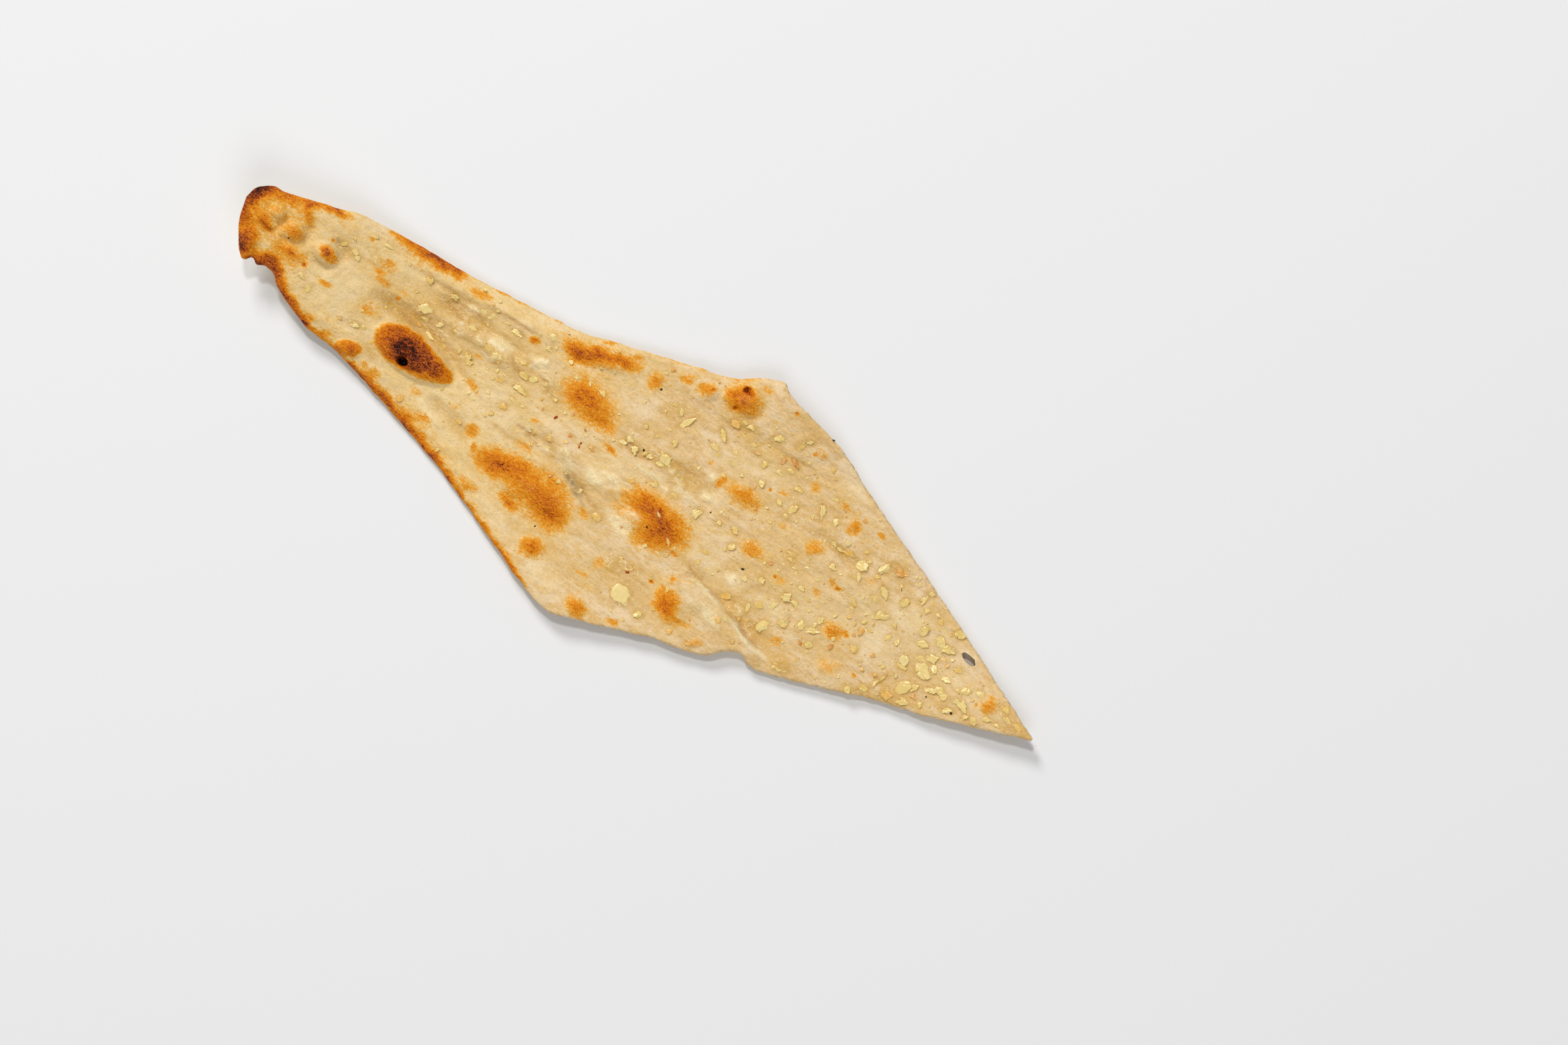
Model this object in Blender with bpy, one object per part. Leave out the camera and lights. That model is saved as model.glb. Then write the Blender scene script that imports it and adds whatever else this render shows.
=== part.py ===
"""Garlic naan, one cut piece: a thin wavy flatbread with chopped garlic baked onto it.

The bread lies on z = 0 with its long axis along X. The narrow charred head is at -X and the
cut point at +X. The upper and lower outer edges are baked crust, and the two edges that meet
at the point were cut. Chopped garlic is fused to the bread, so the piece is one solid.
"""

import math
import random

import bmesh
import bpy
import numpy as np
from mathutils import Matrix, Vector, noise
from mathutils.geometry import delaunay_2d_cdt

MM = 0.001

# Driving sizes of the piece
LENGTH = 280 * MM  # head to cut point
WIDTH = 95 * MM  # corner to corner
DOUGH = 3.7 * MM  # thickness of the plain bread
CRUST_EDGE = 2.4 * MM  # thickness left at a baked edge
HEAD_LIFT = 13 * MM  # how far the head curls up off the table
POINT_LIFT = 4 * MM
CORNER_LIFT = 3.5 * MM

# Mesh spacing
RIM_STEP = 2.7 * MM
TOP_STEP = 3.3 * MM
UNDER_STEP = 5.6 * MM

# The outline in millimetres, drawn at 280 x 95 and scaled to LENGTH and WIDTH.
DRAWN_LENGTH, DRAWN_WIDTH = 280, 95
UPPER_CRUST = (
    (-140, 2), (-139, 6), (-135, 9.2), (-130, 10), (-116, 14.8), (-109.5, 17), (-88, 19.5),
    (-72, 20.8), (-40, 25.2), (-30, 28.2), (-5, 36.2), (6, 39.6), (14, 45), (20, 47.5),
)
RIGHT_CUT = ((24, 45.4), (45, 40.8), (61, 34.2), (100, 19.4), (140, 3.1))
TORN_CUT = (
    (140, 3.1), (136, 1.4), (112, -8.3), (104, -11), (93, -14.4), (80, -19.8), (61, -26.6),
    (54.5, -25.2), (50.2, -27.6), (46, -31.8), (40, -34.1), (30, -36.5), (22, -39.8), (1.5, -47.5),
)
LOWER_CRUST = (
    (1.5, -47.5), (-8, -45.6), (-37, -35.3), (-56, -29.3), (-90, -20.9), (-105, -19.3),
    (-117, -15), (-120.6, -12.3), (-124.5, -11.7), (-126.7, -12.8), (-128.6, -11.3),
    (-131, -13.5), (-135.5, -8.8), (-138.4, -3.5), (-140, 2),
)

# The small hole near the point: centre, half length, half width, turn
HOLE_AT = (110.4, 11.8)
HOLE_HALF_LENGTH = 2.6
HOLE_HALF_WIDTH = 1.15
HOLE_TURN = -12

# Blisters: x, y, half length, half width, turn in degrees, height, steepness of the side
BLISTERS = (
    (-74.3, -8.2, 14.0, 6.6, 0, 3.6, 0.8),  # the big burnt one
    (-111.8, 1.3, 4.8, 3.3, -8, 2.2, 1.0),
    (-123.2, 1.4, 3.8, 3.2, 0, 1.6, 1.0),
    (-129.8, 3.4, 3.2, 2.8, 0, 1.2, 1.0),
    (-91.0, -17.6, 4.8, 2.8, 14, 1.5, 1.2),
    (13.2, 36.4, 6.4, 5.4, 0, 2.0, 1.2),
    (3.4, 32.8, 3.0, 2.8, 0, 1.0, 1.2),
    (-27.5, 22.6, 13.5, 3.8, 18, 0.9, 1.5),
    (-24.0, 9.4, 9.5, 5.5, -10, 0.9, 1.5),
    (-24.0, -21.4, 17.0, 6.5, -4, 1.6, 1.5),
    (12.5, -7.0, 13.0, 8.5, -14, 1.5, 1.5),
    (29.5, -25.8, 6.6, 5.2, -25, 1.2, 1.3),
    (-13.5, -34.6, 4.6, 3.8, 0, 0.9, 1.3),
    (7.2, -41.4, 4.0, 3.4, 0, 0.9, 1.3),
    (28.5, 13.2, 6.0, 3.2, 0, 0.7, 1.4),
    (123.0, 4.2, 3.2, 3.2, 0, 0.8, 1.4),
)

# Folds: height (below zero for a valley), half width, and the line it follows
FOLDS = (
    (-1.7, 2.4, ((-96, 0.4), (-85, 0.2), (-76, -0.4), (-66, -2.6), (-57, -7))),
    (1.1, 2.6, ((-92, 5.4), (-74, 6.0), (-56, 6.6), (-44, 6.0))),
    (-0.9, 1.7, ((-86, 9.4), (-70, 10.2), (-55, 10.4), (-43, 10))),
    (0.8, 2.0, ((-90, 14.6), (-70, 16), (-50, 18), (-36, 20.5))),
    (-0.8, 1.8, ((-64, -15.6), (-54, -17.5), (-45, -19.4))),
    (-0.9, 1.5, ((-37, -6.4), (-29, -8.5), (-20, -9.6), (-13, -12.6), (-6, -15))),
    (0.9, 2.4, ((-38, -2), (-26, -3.4), (-12, -6.5), (-2, -9))),
    (-0.9, 1.6, ((-112, 7.2), (-108, 5.2), (-105.5, 2))),
    (-0.9, 1.7, ((-120.5, 6), (-118.6, 3.6), (-118.4, -1))),
    (-0.7, 1.8, ((50, 16.2), (61, 16), (70, 14.6))),
    (0.8, 2.6, ((44, 12), (62, 10), (82, 8.5))),
    (-0.7, 2.2, ((8, 8.4), (16, 8.8), (24, 8))),
    (-0.8, 2.4, ((28, -12.6), (40, -14.4), (52, -17.6), (64, -21))),
)

# The flap: the bread on the lower side of this line lies over the rest
FLAP_LINE = ((22, -23), (25.5, -18.6), (31, -16), (38, -16.2), (46, -18.3), (55, -21.4), (64, -23.4))
FLAP_RISE = 1.8
FLAP_REACH = 15  # how far behind its edge the flap fades into the bread
FLAP_LIP = 1.1  # width of the step at its edge

# Chopped garlic placed by eye: x, y, length, width, turn in degrees
CHOSEN_GARLIC = (
    (15.8, -30.9, 6.4, 5.0, -10), (68.8, 16.4, 3.6, 3.4, 20), (76.4, 21.2, 5.6, 3.0, 55),
    (80.0, 21.4, 3.4, 2.6, -10), (54.4, -14.4, 4.0, 3.6, 40), (46.4, -17.4, 5.0, 2.6, -20),
    (99.4, -7.2, 4.6, 3.6, 60), (101.6, 2.0, 6.0, 3.6, 0), (95.0, 1.2, 3.4, 2.6, -20),
    (3.6, 8.8, 3.8, 2.6, -20), (2.8, 22.0, 5.8, 1.8, 62), (13.6, 24.2, 4.0, 1.9, -30),
    (51.0, 22.2, 4.6, 1.9, -58), (43.2, 17.8, 3.2, 2.4, 40), (28.0, 33.2, 3.4, 2.0, 15),
    (-53.6, 5.2, 3.8, 2.6, 0), (-42.4, 1.2, 4.2, 2.0, -5), (-34.6, 6.0, 4.0, 3.2, 0),
    (-78.4, 4.4, 4.4, 2.8, -10), (-74.0, -1.0, 3.8, 1.4, -14), (-104.6, 6.6, 2.6, 2.2, 0),
    (-98.8, 8.4, 3.0, 2.0, -50), (-61.6, 14.4, 3.0, 2.2, 0), (-53.0, 14.4, 3.8, 1.8, 0),
    (-21.4, -7.2, 3.2, 2.6, -70), (19.6, 1.4, 3.0, 2.0, 80), (64.6, -8.6, 2.8, 2.6, 0),
    (68.2, -7.8, 3.6, 1.8, 30), (110.0, 3.2, 3.0, 2.4, 0), (106.6, -1.4, 3.6, 2.4, -30),
    (116.2, -0.8, 4.0, 2.2, -25), (119.4, 5.4, 2.6, 2.0, -20), (82.0, 7.6, 3.4, 2.6, 40),
    (72.4, 6.4, 4.6, 1.7, -6), (96.2, 8.6, 3.2, 2.4, 0), (103.6, 10.4, 4.4, 2.2, 0),
    (104.0, 16.4, 3.6, 2.0, 20), (129.2, 3.4, 3.0, 2.0, 0), (22.8, -32.8, 2.6, 2.2, 0),
    (98.2, -11.0, 4.2, 2.0, 10), (128.0, 0.6, 3.4, 1.8, 10), (66.0, -21.6, 3.6, 2.6, 30),
)
SCATTERED_GARLIC = 100  # further bits, thickest towards the point
GARLIC_SEED = 7


def smooth_line(points, step):
    """Points about a step apart on a Catmull-Rom curve through the given ones."""
    knots = [Vector(p).to_2d() for p in points]
    knots = [2 * knots[0] - knots[1], *knots, 2 * knots[-1] - knots[-2]]
    line = []
    for a, b, c, d in zip(knots, knots[1:], knots[2:], knots[3:]):
        pieces = max(1, round((c - b).length / step))
        for i in range(pieces):
            t = i / pieces
            line.append(
                0.5 * (2 * b + (c - a) * t + (2 * a - 5 * b + 4 * c - d) * t * t
                       + (3 * b - a - 3 * c + d) * t ** 3)
            )
    return [*line, knots[-2]]


def outline():
    """(points, crust) round the piece, clockwise from the head. Crust is 1 where baked, 0 where cut."""
    step = RIM_STEP / MM
    upper = smooth_line((*UPPER_CRUST, *RIGHT_CUT), step)
    peak = UPPER_CRUST[-1][0]
    lower_cut = smooth_line(TORN_CUT, step)
    lower_crust = smooth_line(LOWER_CRUST, step)
    points = upper[:-1] + lower_cut[:-1] + lower_crust[:-1]
    crust = [float(p.x < peak) for p in upper[:-1]] + [0.0] * (len(lower_cut) - 1)
    crust += [1.0] * (len(lower_crust) - 1)
    corners = (TORN_CUT[0], TORN_CUT[-1], UPPER_CRUST[-1])
    ragged = []
    for p, baked in zip(points, crust):
        to_corner = min((p - Vector(c)).length for c in corners)
        wobble = noise.noise(Vector((p.x / 4, p.y / 4, 1.7))) * (0.35 if baked else 0.25)
        wobble *= min(1.0, to_corner / 8)
        ragged.append((p.x, p.y + wobble))
    scale = np.array((LENGTH / DRAWN_LENGTH, WIDTH / DRAWN_WIDTH))
    return np.array(ragged) * scale, np.array(crust)


def outward(points):
    """Unit normals of a closed clockwise line, pointing out of it."""
    along = np.roll(points, -1, axis=0) - np.roll(points, 1, axis=0)
    along /= np.linalg.norm(along, axis=1, keepdims=True)
    return np.stack((-along[:, 1], along[:, 0]), axis=1)


def line_distance(x, y, line):
    """(distance, side, share) of each point from a line in millimetres: side is above 0 on its left."""
    nearest = np.full(x.shape, 1e9)
    side = np.zeros(x.shape)
    share = np.zeros(x.shape)
    for i, ((ax, ay), (bx, by)) in enumerate(zip(line, line[1:])):
        dx, dy = bx - ax, by - ay
        t = np.clip(((x - ax) * dx + (y - ay) * dy) / (dx * dx + dy * dy), 0, 1)
        off_x, off_y = x - ax - t * dx, y - ay - t * dy
        away = np.hypot(off_x, off_y)
        closer = away < nearest
        nearest = np.where(closer, away, nearest)
        side = np.where(closer, dx * off_y - dy * off_x, side)
        share = np.where(closer, (i + t) / (len(line) - 1), share)
    return nearest, side, share


def ramp(value, low, high):
    """0 below low, 1 above high, and smooth between."""
    t = np.clip((value - low) / (high - low), 0, 1)
    return t * t * (3 - 2 * t)


def rolling(x, y, long, across, layer):
    """Smooth noise of about -1 to 1, drawn out along the bread."""
    return np.array([noise.noise(Vector((a / long, b / across, layer))) for a, b in zip(x, y)])


def underside(x, y):
    """Height of the underside in millimetres: flat in the middle, lifted towards the ends and corners."""
    lift = HEAD_LIFT / MM * np.clip((-58 - x) / 82, 0, 1) ** 1.7
    lift = lift + POINT_LIFT / MM * np.clip((x - 84) / 56, 0, 1) ** 1.6
    lift = lift + CORNER_LIFT / MM * np.clip((y - 18) / 29, 0, 1) ** 1.5
    lift = lift + CORNER_LIFT / MM * np.clip((-20 - y) / 27, 0, 1) ** 1.5
    waves = 0.9 * rolling(x, y, 34, 17, 3.1) * ramp(np.hypot(x - 20, y * 1.6), 26, 60)
    return np.maximum(lift + waves - 0.35, 0)


def blister(x, y, at_x, at_y, half_long, half_wide, turn, height, steep):
    c, s = math.cos(math.radians(turn)), math.sin(math.radians(turn))
    u = ((x - at_x) * c + (y - at_y) * s) / half_long
    v = ((y - at_y) * c - (x - at_x) * s) / half_wide
    return height * np.clip(1 - u * u - v * v, 0, 1) ** steep


def fold(x, y, height, half_width, line):
    away, _, share = line_distance(x, y, line)
    fade = ramp(share, -0.01, 0.22) * ramp(-share, -1.01, -0.78)
    return height * np.exp(-((away / half_width) ** 2)) * fade


def flap(x, y):
    away, side, share = line_distance(x, y, FLAP_LINE)
    behind = np.where(side < 0, away, -away)
    step = ramp(behind, -FLAP_LIP / 2, FLAP_LIP / 2) * ramp(-behind, -FLAP_REACH, -2)
    return FLAP_RISE * step * ramp(share, 0, 0.2) * ramp(-share, -1.0, -0.8)


def thickness(x, y):
    """Thickness of the bread in millimetres, with its blisters and folds, before the rim thins it."""
    deep = DOUGH / MM + 0.45 * rolling(x, y, 26, 9, 8.4) + 0.2 * rolling(x, y, 9, 4, 5.2)
    for one in BLISTERS:
        deep = deep + blister(x, y, *one)
    for one in FOLDS:
        deep = deep + fold(x, y, *one)
    return np.maximum(deep + flap(x, y), 2.2)


def lattice(step, edge, keep_off):
    """Points of a triangular lattice inside the edge, at least keep_off from it, in metres."""
    rows = int(WIDTH / step / 0.866)
    columns = int(LENGTH / step)
    x, y = np.meshgrid(np.arange(columns + 2) * step, np.arange(rows + 2) * step * 0.866)
    x = x + np.where(np.arange(rows + 2) % 2, step / 2, 0)[:, None] - LENGTH / 2
    y = y - WIDTH / 2
    x, y = x.ravel(), y.ravel()
    closed = np.vstack((edge, edge[:1]))
    away, side, _ = line_distance(x, y, closed)
    far = (side < 0) & (away > keep_off)
    off_hole = np.hypot(x - HOLE_AT[0] * MM, y - HOLE_AT[1] * MM) > HOLE_HALF_LENGTH * MM + keep_off
    return np.stack((x, y), axis=1)[far & off_hole]


def hole_ring():
    turn = math.radians(HOLE_TURN)
    ring = []
    for i in range(10):
        a = -2 * math.pi * i / 10
        u, v = HOLE_HALF_LENGTH * math.cos(a), HOLE_HALF_WIDTH * math.sin(a)
        ring.append((HOLE_AT[0] + u * math.cos(turn) - v * math.sin(turn),
                     HOLE_AT[1] + u * math.sin(turn) + v * math.cos(turn)))
    return np.array(ring) * MM


def sheet_faces(edge, hole, inner):
    """(points, triangles) of the sheet inside the edge and outside the hole, edge points first."""
    points = np.vstack((edge, hole, inner))
    round_edge = [(i, (i + 1) % len(edge)) for i in range(len(edge))]
    round_hole = [(len(edge) + i, len(edge) + (i + 1) % len(hole)) for i in range(len(hole))]
    flat = [Vector(p) for p in points]
    made, _, faces, *_ = delaunay_2d_cdt(flat, round_edge + round_hole, [], 1, 1e-7)
    centre = hole.mean(axis=0)
    kept = []
    for face in faces:
        middle = sum((made[i] for i in face), Vector((0, 0))) / 3
        in_hole = all(len(edge) <= i < len(edge) + len(hole) for i in face)
        if not (in_hole and (middle - Vector(centre)).length < HOLE_HALF_LENGTH * MM):
            kept.append(face)
    return points, kept


def bread():
    """The bread as one closed body: a top and an underside joined round the rim and round the hole."""
    edge, crust = outline()
    hole = hole_ring()
    inset = (0.12 + 0.75 * crust) * MM
    top_edge = edge - outward(edge) * inset[:, None]
    top_points, top_faces = sheet_faces(top_edge, hole, lattice(TOP_STEP, edge, 0.62 * TOP_STEP))
    low_points, low_faces = sheet_faces(top_edge, hole, lattice(UNDER_STEP, edge, 0.55 * UNDER_STEP))
    x, y = top_points.T / MM
    deep = thickness(x, y)
    rim_share = np.ones(len(x))
    rim_share[: len(edge)] = np.where(crust > 0, CRUST_EDGE / DOUGH, 0.96)
    top_z = (underside(x, y) + deep * (0.5 + 0.5 * rim_share)) * MM
    x, y = low_points.T / MM
    low_z = underside(x, y)
    low_z[: len(edge)] += np.where(crust > 0, 0.5, 0.02) * (DOUGH - CRUST_EDGE) / MM
    low_z *= MM
    mesh = bmesh.new()
    top = [mesh.verts.new((*p, z)) for p, z in zip(top_points, top_z)]
    low = [mesh.verts.new((*p, z)) for p, z in zip(low_points, low_z)]
    middle = [
        mesh.verts.new((*p, (top_z[i] + low_z[i]) / 2)) for i, p in enumerate(edge)
    ]
    for face in top_faces:
        mesh.faces.new([top[i] for i in face])
    for face in low_faces:
        mesh.faces.new([low[i] for i in reversed(face)])
    for i in range(len(edge)):
        j = (i + 1) % len(edge)
        mesh.faces.new((top[i], top[j], middle[j], middle[i]))
        mesh.faces.new((middle[i], middle[j], low[j], low[i]))
    first = len(edge)
    for i in range(len(hole)):
        a, b = first + i, first + (i + 1) % len(hole)
        mesh.faces.new((top[a], top[b], low[b], low[a]))
    bmesh.ops.recalc_face_normals(mesh, faces=mesh.faces)
    bmesh.ops.triangulate(mesh, faces=mesh.faces)
    return add_object("naan", mesh, baked_bread())


def inside(x, y, edge, margin):
    away, side, _ = line_distance(np.array([x]), np.array([y]), edge)
    return side[0] < 0 and away[0] > margin


def scattered_garlic(edge):
    """Seeded bits: many near the point, fewer along the middle, almost none on the head."""
    draw = random.Random(GARLIC_SEED)
    closed = np.vstack((edge, edge[:1])) / MM
    placed = [(x, y, max(long, wide)) for x, y, long, wide, _ in CHOSEN_GARLIC]
    found = []
    while len(found) < SCATTERED_GARLIC:
        x, y = draw.uniform(-125, 134), draw.uniform(-40, 42)
        size = 1.6 + 1.5 * draw.random() ** 2
        wanted = 0.05 + 0.3 * ramp(x, -110, -60) + 0.65 * ramp(x, 20, 105)
        wanted *= math.exp(-((y - 5 + x / 30) / 26) ** 2)
        turn = draw.uniform(0, 180)
        slim = draw.uniform(0.45, 0.9)
        if draw.random() > wanted or not inside(x, y, closed, 2.2):
            continue
        if math.hypot(x - HOLE_AT[0], y - HOLE_AT[1]) < HOLE_HALF_LENGTH + 2.5:
            continue
        if any(math.hypot(x - a, y - b) < 0.55 * (size + c) for a, b, c in placed):
            continue
        placed.append((x, y, size))
        found.append((x, y, size, size * slim, turn))
    return found


def garlic_bit(number, x, y, long, wide, turn, draw):
    """One angular chip, sunk a little into the top of the bread."""
    high = min(2.4, 0.55 * wide + 0.35)
    mesh = bmesh.new()
    for i in range(9):
        a = 2 * math.pi * (i + draw.uniform(-0.25, 0.25)) / 9
        reach = draw.uniform(0.8, 1.0)
        level = -0.45 if i % 2 else draw.uniform(0.1, 0.45)
        across = 0.5 * wide * reach * math.sin(a)
        mesh.verts.new((0.5 * long * reach * math.cos(a), across, level * high))
    for i in range(4):
        a = 2 * math.pi * (i + draw.uniform(-0.2, 0.2)) / 4
        mesh.verts.new((0.28 * long * math.cos(a), 0.28 * wide * math.sin(a), high * draw.uniform(0.5, 0.6)))
    mesh.verts.new((0, 0, -0.6 * high))
    made = bmesh.ops.convex_hull(mesh, input=mesh.verts)
    spare = [v for v in made["geom_interior"] + made["geom_unused"] if isinstance(v, bmesh.types.BMVert)]
    bmesh.ops.delete(mesh, geom=spare, context="VERTS")
    bmesh.ops.triangulate(mesh, faces=mesh.faces)
    spot_x, spot_y = np.array([x]), np.array([y])
    level = (underside(spot_x, spot_y) + thickness(spot_x, spot_y))[0]
    mesh.transform(
        Matrix.Translation((x * MM, y * MM, (level + 0.12 * high) * MM))
        @ Matrix.Rotation(math.radians(turn), 4, "Z") @ Matrix.Scale(MM, 4)
    )
    bmesh.ops.recalc_face_normals(mesh, faces=mesh.faces)
    return add_object(f"garlic_{number}", mesh, None)


def fuse_garlic(naan, edge):
    """Joins every bit to the bread by one union, and removes the loose ones."""
    bits = bpy.data.collections.new("garlic")
    bpy.context.scene.collection.children.link(bits)
    draw = random.Random(GARLIC_SEED + 1)
    for number, spot in enumerate((*CHOSEN_GARLIC, *scattered_garlic(edge))):
        bit = garlic_bit(number, *spot, draw)
        bpy.context.scene.collection.objects.unlink(bit)
        bits.objects.link(bit)
    join = naan.modifiers.new("garlic", "BOOLEAN")
    join.operation = "UNION"
    join.operand_type = "COLLECTION"
    join.collection = bits
    join.solver = "EXACT"
    bpy.context.view_layer.objects.active = naan
    bpy.ops.object.modifier_apply(modifier=join.name)
    for bit in list(bits.objects):
        bpy.data.objects.remove(bit)
    bpy.data.collections.remove(bits)


def baked_bread():
    material = bpy.data.materials.new("baked_bread")
    material.use_nodes = True
    shader = material.node_tree.nodes["Principled BSDF"]
    shader.inputs["Base Color"].default_value = (0.75, 0.56, 0.31, 1)
    shader.inputs["Roughness"].default_value = 0.5
    shader.inputs["Metallic"].default_value = 0
    return material


def add_object(name, mesh, material):
    data = bpy.data.meshes.new(name)
    mesh.to_mesh(data)
    mesh.free()
    if material:
        data.materials.append(material)
    made = bpy.data.objects.new(name, data)
    bpy.context.scene.collection.objects.link(made)
    return made


def main():
    for old in list(bpy.data.objects):
        bpy.data.objects.remove(old)
    naan = bread()
    fuse_garlic(naan, outline()[0])
    naan.data.shade_smooth()
    naan.data.set_sharp_from_angle(angle=math.radians(40))


main()
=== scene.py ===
import math
import random

import bpy
import numpy as np
from mathutils import Matrix, Vector, noise


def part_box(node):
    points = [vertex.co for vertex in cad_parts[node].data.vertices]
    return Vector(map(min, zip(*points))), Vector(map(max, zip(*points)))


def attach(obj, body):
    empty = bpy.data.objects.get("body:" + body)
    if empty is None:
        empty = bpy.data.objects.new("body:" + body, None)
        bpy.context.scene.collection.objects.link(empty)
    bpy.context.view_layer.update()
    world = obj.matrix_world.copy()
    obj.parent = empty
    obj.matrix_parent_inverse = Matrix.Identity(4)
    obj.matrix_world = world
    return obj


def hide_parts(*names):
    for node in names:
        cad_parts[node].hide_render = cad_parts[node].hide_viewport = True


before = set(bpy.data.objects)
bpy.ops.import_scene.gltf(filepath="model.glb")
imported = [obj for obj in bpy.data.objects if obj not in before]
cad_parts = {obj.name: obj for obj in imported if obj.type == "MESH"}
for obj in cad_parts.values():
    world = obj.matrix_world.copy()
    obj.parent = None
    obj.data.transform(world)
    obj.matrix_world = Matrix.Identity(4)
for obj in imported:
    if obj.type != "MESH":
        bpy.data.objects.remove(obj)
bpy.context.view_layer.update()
mm = 0.001
breadLow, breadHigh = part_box("naan")

# Lengths below are in millimetres in the frame's own axes: x runs from the charred head to the cut point.
bread = {
    "drawn": (280, 95),  # the size that the outline is drawn at
    "upperCrust": (
        (-140, 2), (-139, 6), (-135, 9.2), (-130, 10), (-116, 14.8), (-109.5, 17), (-88, 19.5),
        (-72, 20.8), (-40, 25.2), (-30, 28.2), (-5, 36.2), (6, 39.6), (14, 45), (20, 47.5),
    ),
    "rightCut": ((24, 45.4), (45, 40.8), (61, 34.2), (100, 19.4), (140, 3.1)),
    "tornCut": (
        (140, 3.1), (136, 1.4), (112, -8.3), (104, -11), (93, -14.4), (80, -19.8), (61, -26.6),
        (54.5, -25.2), (50.2, -27.6), (46, -31.8), (40, -34.1), (30, -36.5), (22, -39.8), (1.5, -47.5),
    ),
    "lowerCrust": (
        (1.5, -47.5), (-8, -45.6), (-37, -35.3), (-56, -29.3), (-90, -20.9), (-105, -19.3),
        (-117, -15), (-120.6, -12.3), (-124.5, -11.7), (-126.7, -12.8), (-128.6, -11.3),
        (-131, -13.5), (-135.5, -8.8), (-138.4, -3.5), (-140, 2),
    ),
    "outlineStep": 1.1,
    # raggedness of the outline: its length, layer of the noise, height where baked and where cut
    "ragged": ((4, 1.7, 0.35, 0.25), (1.4, 4.4, 0.12, 0.18)),
    "calmCorner": 8,  # distance from a corner at which the outline is as ragged as elsewhere
    "crustBlend": 3,  # points of the outline over which crust turns to cut edge
    "slab": 4.2,  # thickness of the plain slab before it is shaped
    "voxel": 0.93,  # size of the remesh that shapes the slab
    "dough": 3.7,  # thickness between the blisters
    "thinnest": 2.2,
    "crustEdge": 2.4,  # thickness at the baked edges
    "crustRound": 1.6,  # radius of the baked edges
    "cutRound": 0.4,
    # how the underside curls up: along x or y (0 or 1), start, length, height and power
    "curls": ((0, -58, -82, 13, 1.7), (0, 84, 56, 4, 1.6), (1, 18, 29, 3.5, 1.5), (1, -20, -27, 3.5, 1.5)),
    "flatMiddle": (20, 26, 60),  # its x, and the distances where the waves start and are full
    "settle": 0.35,  # how far the waves are sunk, so that the middle lies flat
    # height, length along the bread, length across it, layer of the noise
    "waves": ((0.9, 34, 17, 3.1),),
    "dimples": ((0.1, 3.2, 2.6, 41), (0.05, 1.2, 1.1, 43)),
    "lumps": ((0.45, 26, 9, 8.4), (0.2, 9, 4, 5.2)),
    # the open crumb of the cut edges: sizes along the edge and through it, layer of the noise, weight
    "crumbCells": ((1.5, 5.5, 0, 1), (0.7, 9, 7, 0.5)),
    "crumbDepth": (0.2, 1.2, 0.9),  # usual depth, how much the cells change it, the deepest
}
hole = {
    "at": (110.4, 11.8), "halfLength": 2.6, "halfWidth": 1.15, "turn": -12,
    "fray": 0.25, "frayScale": 900,  # how far its rim is frayed, and how finely
}

# x, y, half length, half width, turn, height, steepness of the side
blisters = (
    (-74.3, -8.2, 14, 6.6, 0, 3.6, 0.8),  # the big burnt one
    (-111.8, 1.3, 4.8, 3.3, -8, 2.2, 1),
    (-123.2, 1.4, 3.8, 3.2, 0, 1.6, 1),
    (-129.8, 3.4, 3.2, 2.8, 0, 1.2, 1),
    (-91, -17.6, 4.8, 2.8, 14, 1.5, 1.2),
    (13.2, 36.4, 6.4, 5.4, 0, 2, 1.2),
    (3.4, 32.8, 3, 2.8, 0, 1, 1.2),
    (-27.5, 22.6, 13.5, 3.8, 18, 0.9, 1.5),
    (-24, 9.4, 9.5, 5.5, -10, 0.9, 1.5),
    (-24, -21.4, 17, 6.5, -4, 1.6, 1.5),
    (12.5, -7, 13, 8.5, -14, 1.5, 1.5),
    (29.5, -25.8, 6.6, 5.2, -25, 1.2, 1.3),
    (-13.5, -34.6, 4.6, 3.8, 0, 0.9, 1.3),
    (7.2, -41.4, 4, 3.4, 0, 0.9, 1.3),
    (28.5, 13.2, 6, 3.2, 0, 0.7, 1.4),
    (123, 4.2, 3.2, 3.2, 0, 0.8, 1.4),
)
# x, y, half length, half width, turn, height: small ones that the light catches
bubbles = (
    (-25.8, 27.2, 2, 1.5, 20, 0.7), (54.8, 12.8, 3.4, 2.6, 30, 0.5), (60.4, 25.4, 3, 3, 0, 0.4),
    (72.8, -4.6, 3.4, 3.4, 0, 0.5), (-11.4, 26.2, 3, 3.2, 0, 0.6), (-47.8, 15.6, 2.4, 1.8, 0, 0.4),
    (-94.4, 5, 3.4, 2, -10, 0.4), (-132.5, -7.5, 3.6, 3.8, 0, 0.9), (-122.8, 9, 4, 2.2, -50, 0.7),
    (-120, -4.1, 4.6, 2.2, 3, 0.6), (-107.5, -5.9, 3.2, 1.4, 0, 0.3), (-131.6, -0.4, 4.2, 2.2, -22, 0.8),
    (40, 1.9, 4.2, 2.4, 0, 0.4), (-39.2, -30.2, 3.6, 2.2, 0, 0.3), (-42.6, 11.2, 3.2, 1.6, 12, 0.5),
    (34.6, -20, 7, 3.4, -12, 0.8), (20.4, 6.8, 2.2, 1.8, 30, 0.5), (79, -14, 4.4, 3.2, 10, 0.4),
    (5.6, -12.4, 4.2, 2.8, -20, 0.5), (40.4, 36.6, 3.4, 2.4, 0, 0.5), (-21.2, -7.4, 3.4, 2, -20, 0.4),
)
# pits burnt through the skin: x, y, half length, half width, depth
pits = ((-75.8, -11.6, 1.5, 1.3, 3.4), (12.5, 39.3, 1.4, 1.1, 1.6), (12.2, 33.1, 0.7, 0.6, 0.5))

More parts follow.
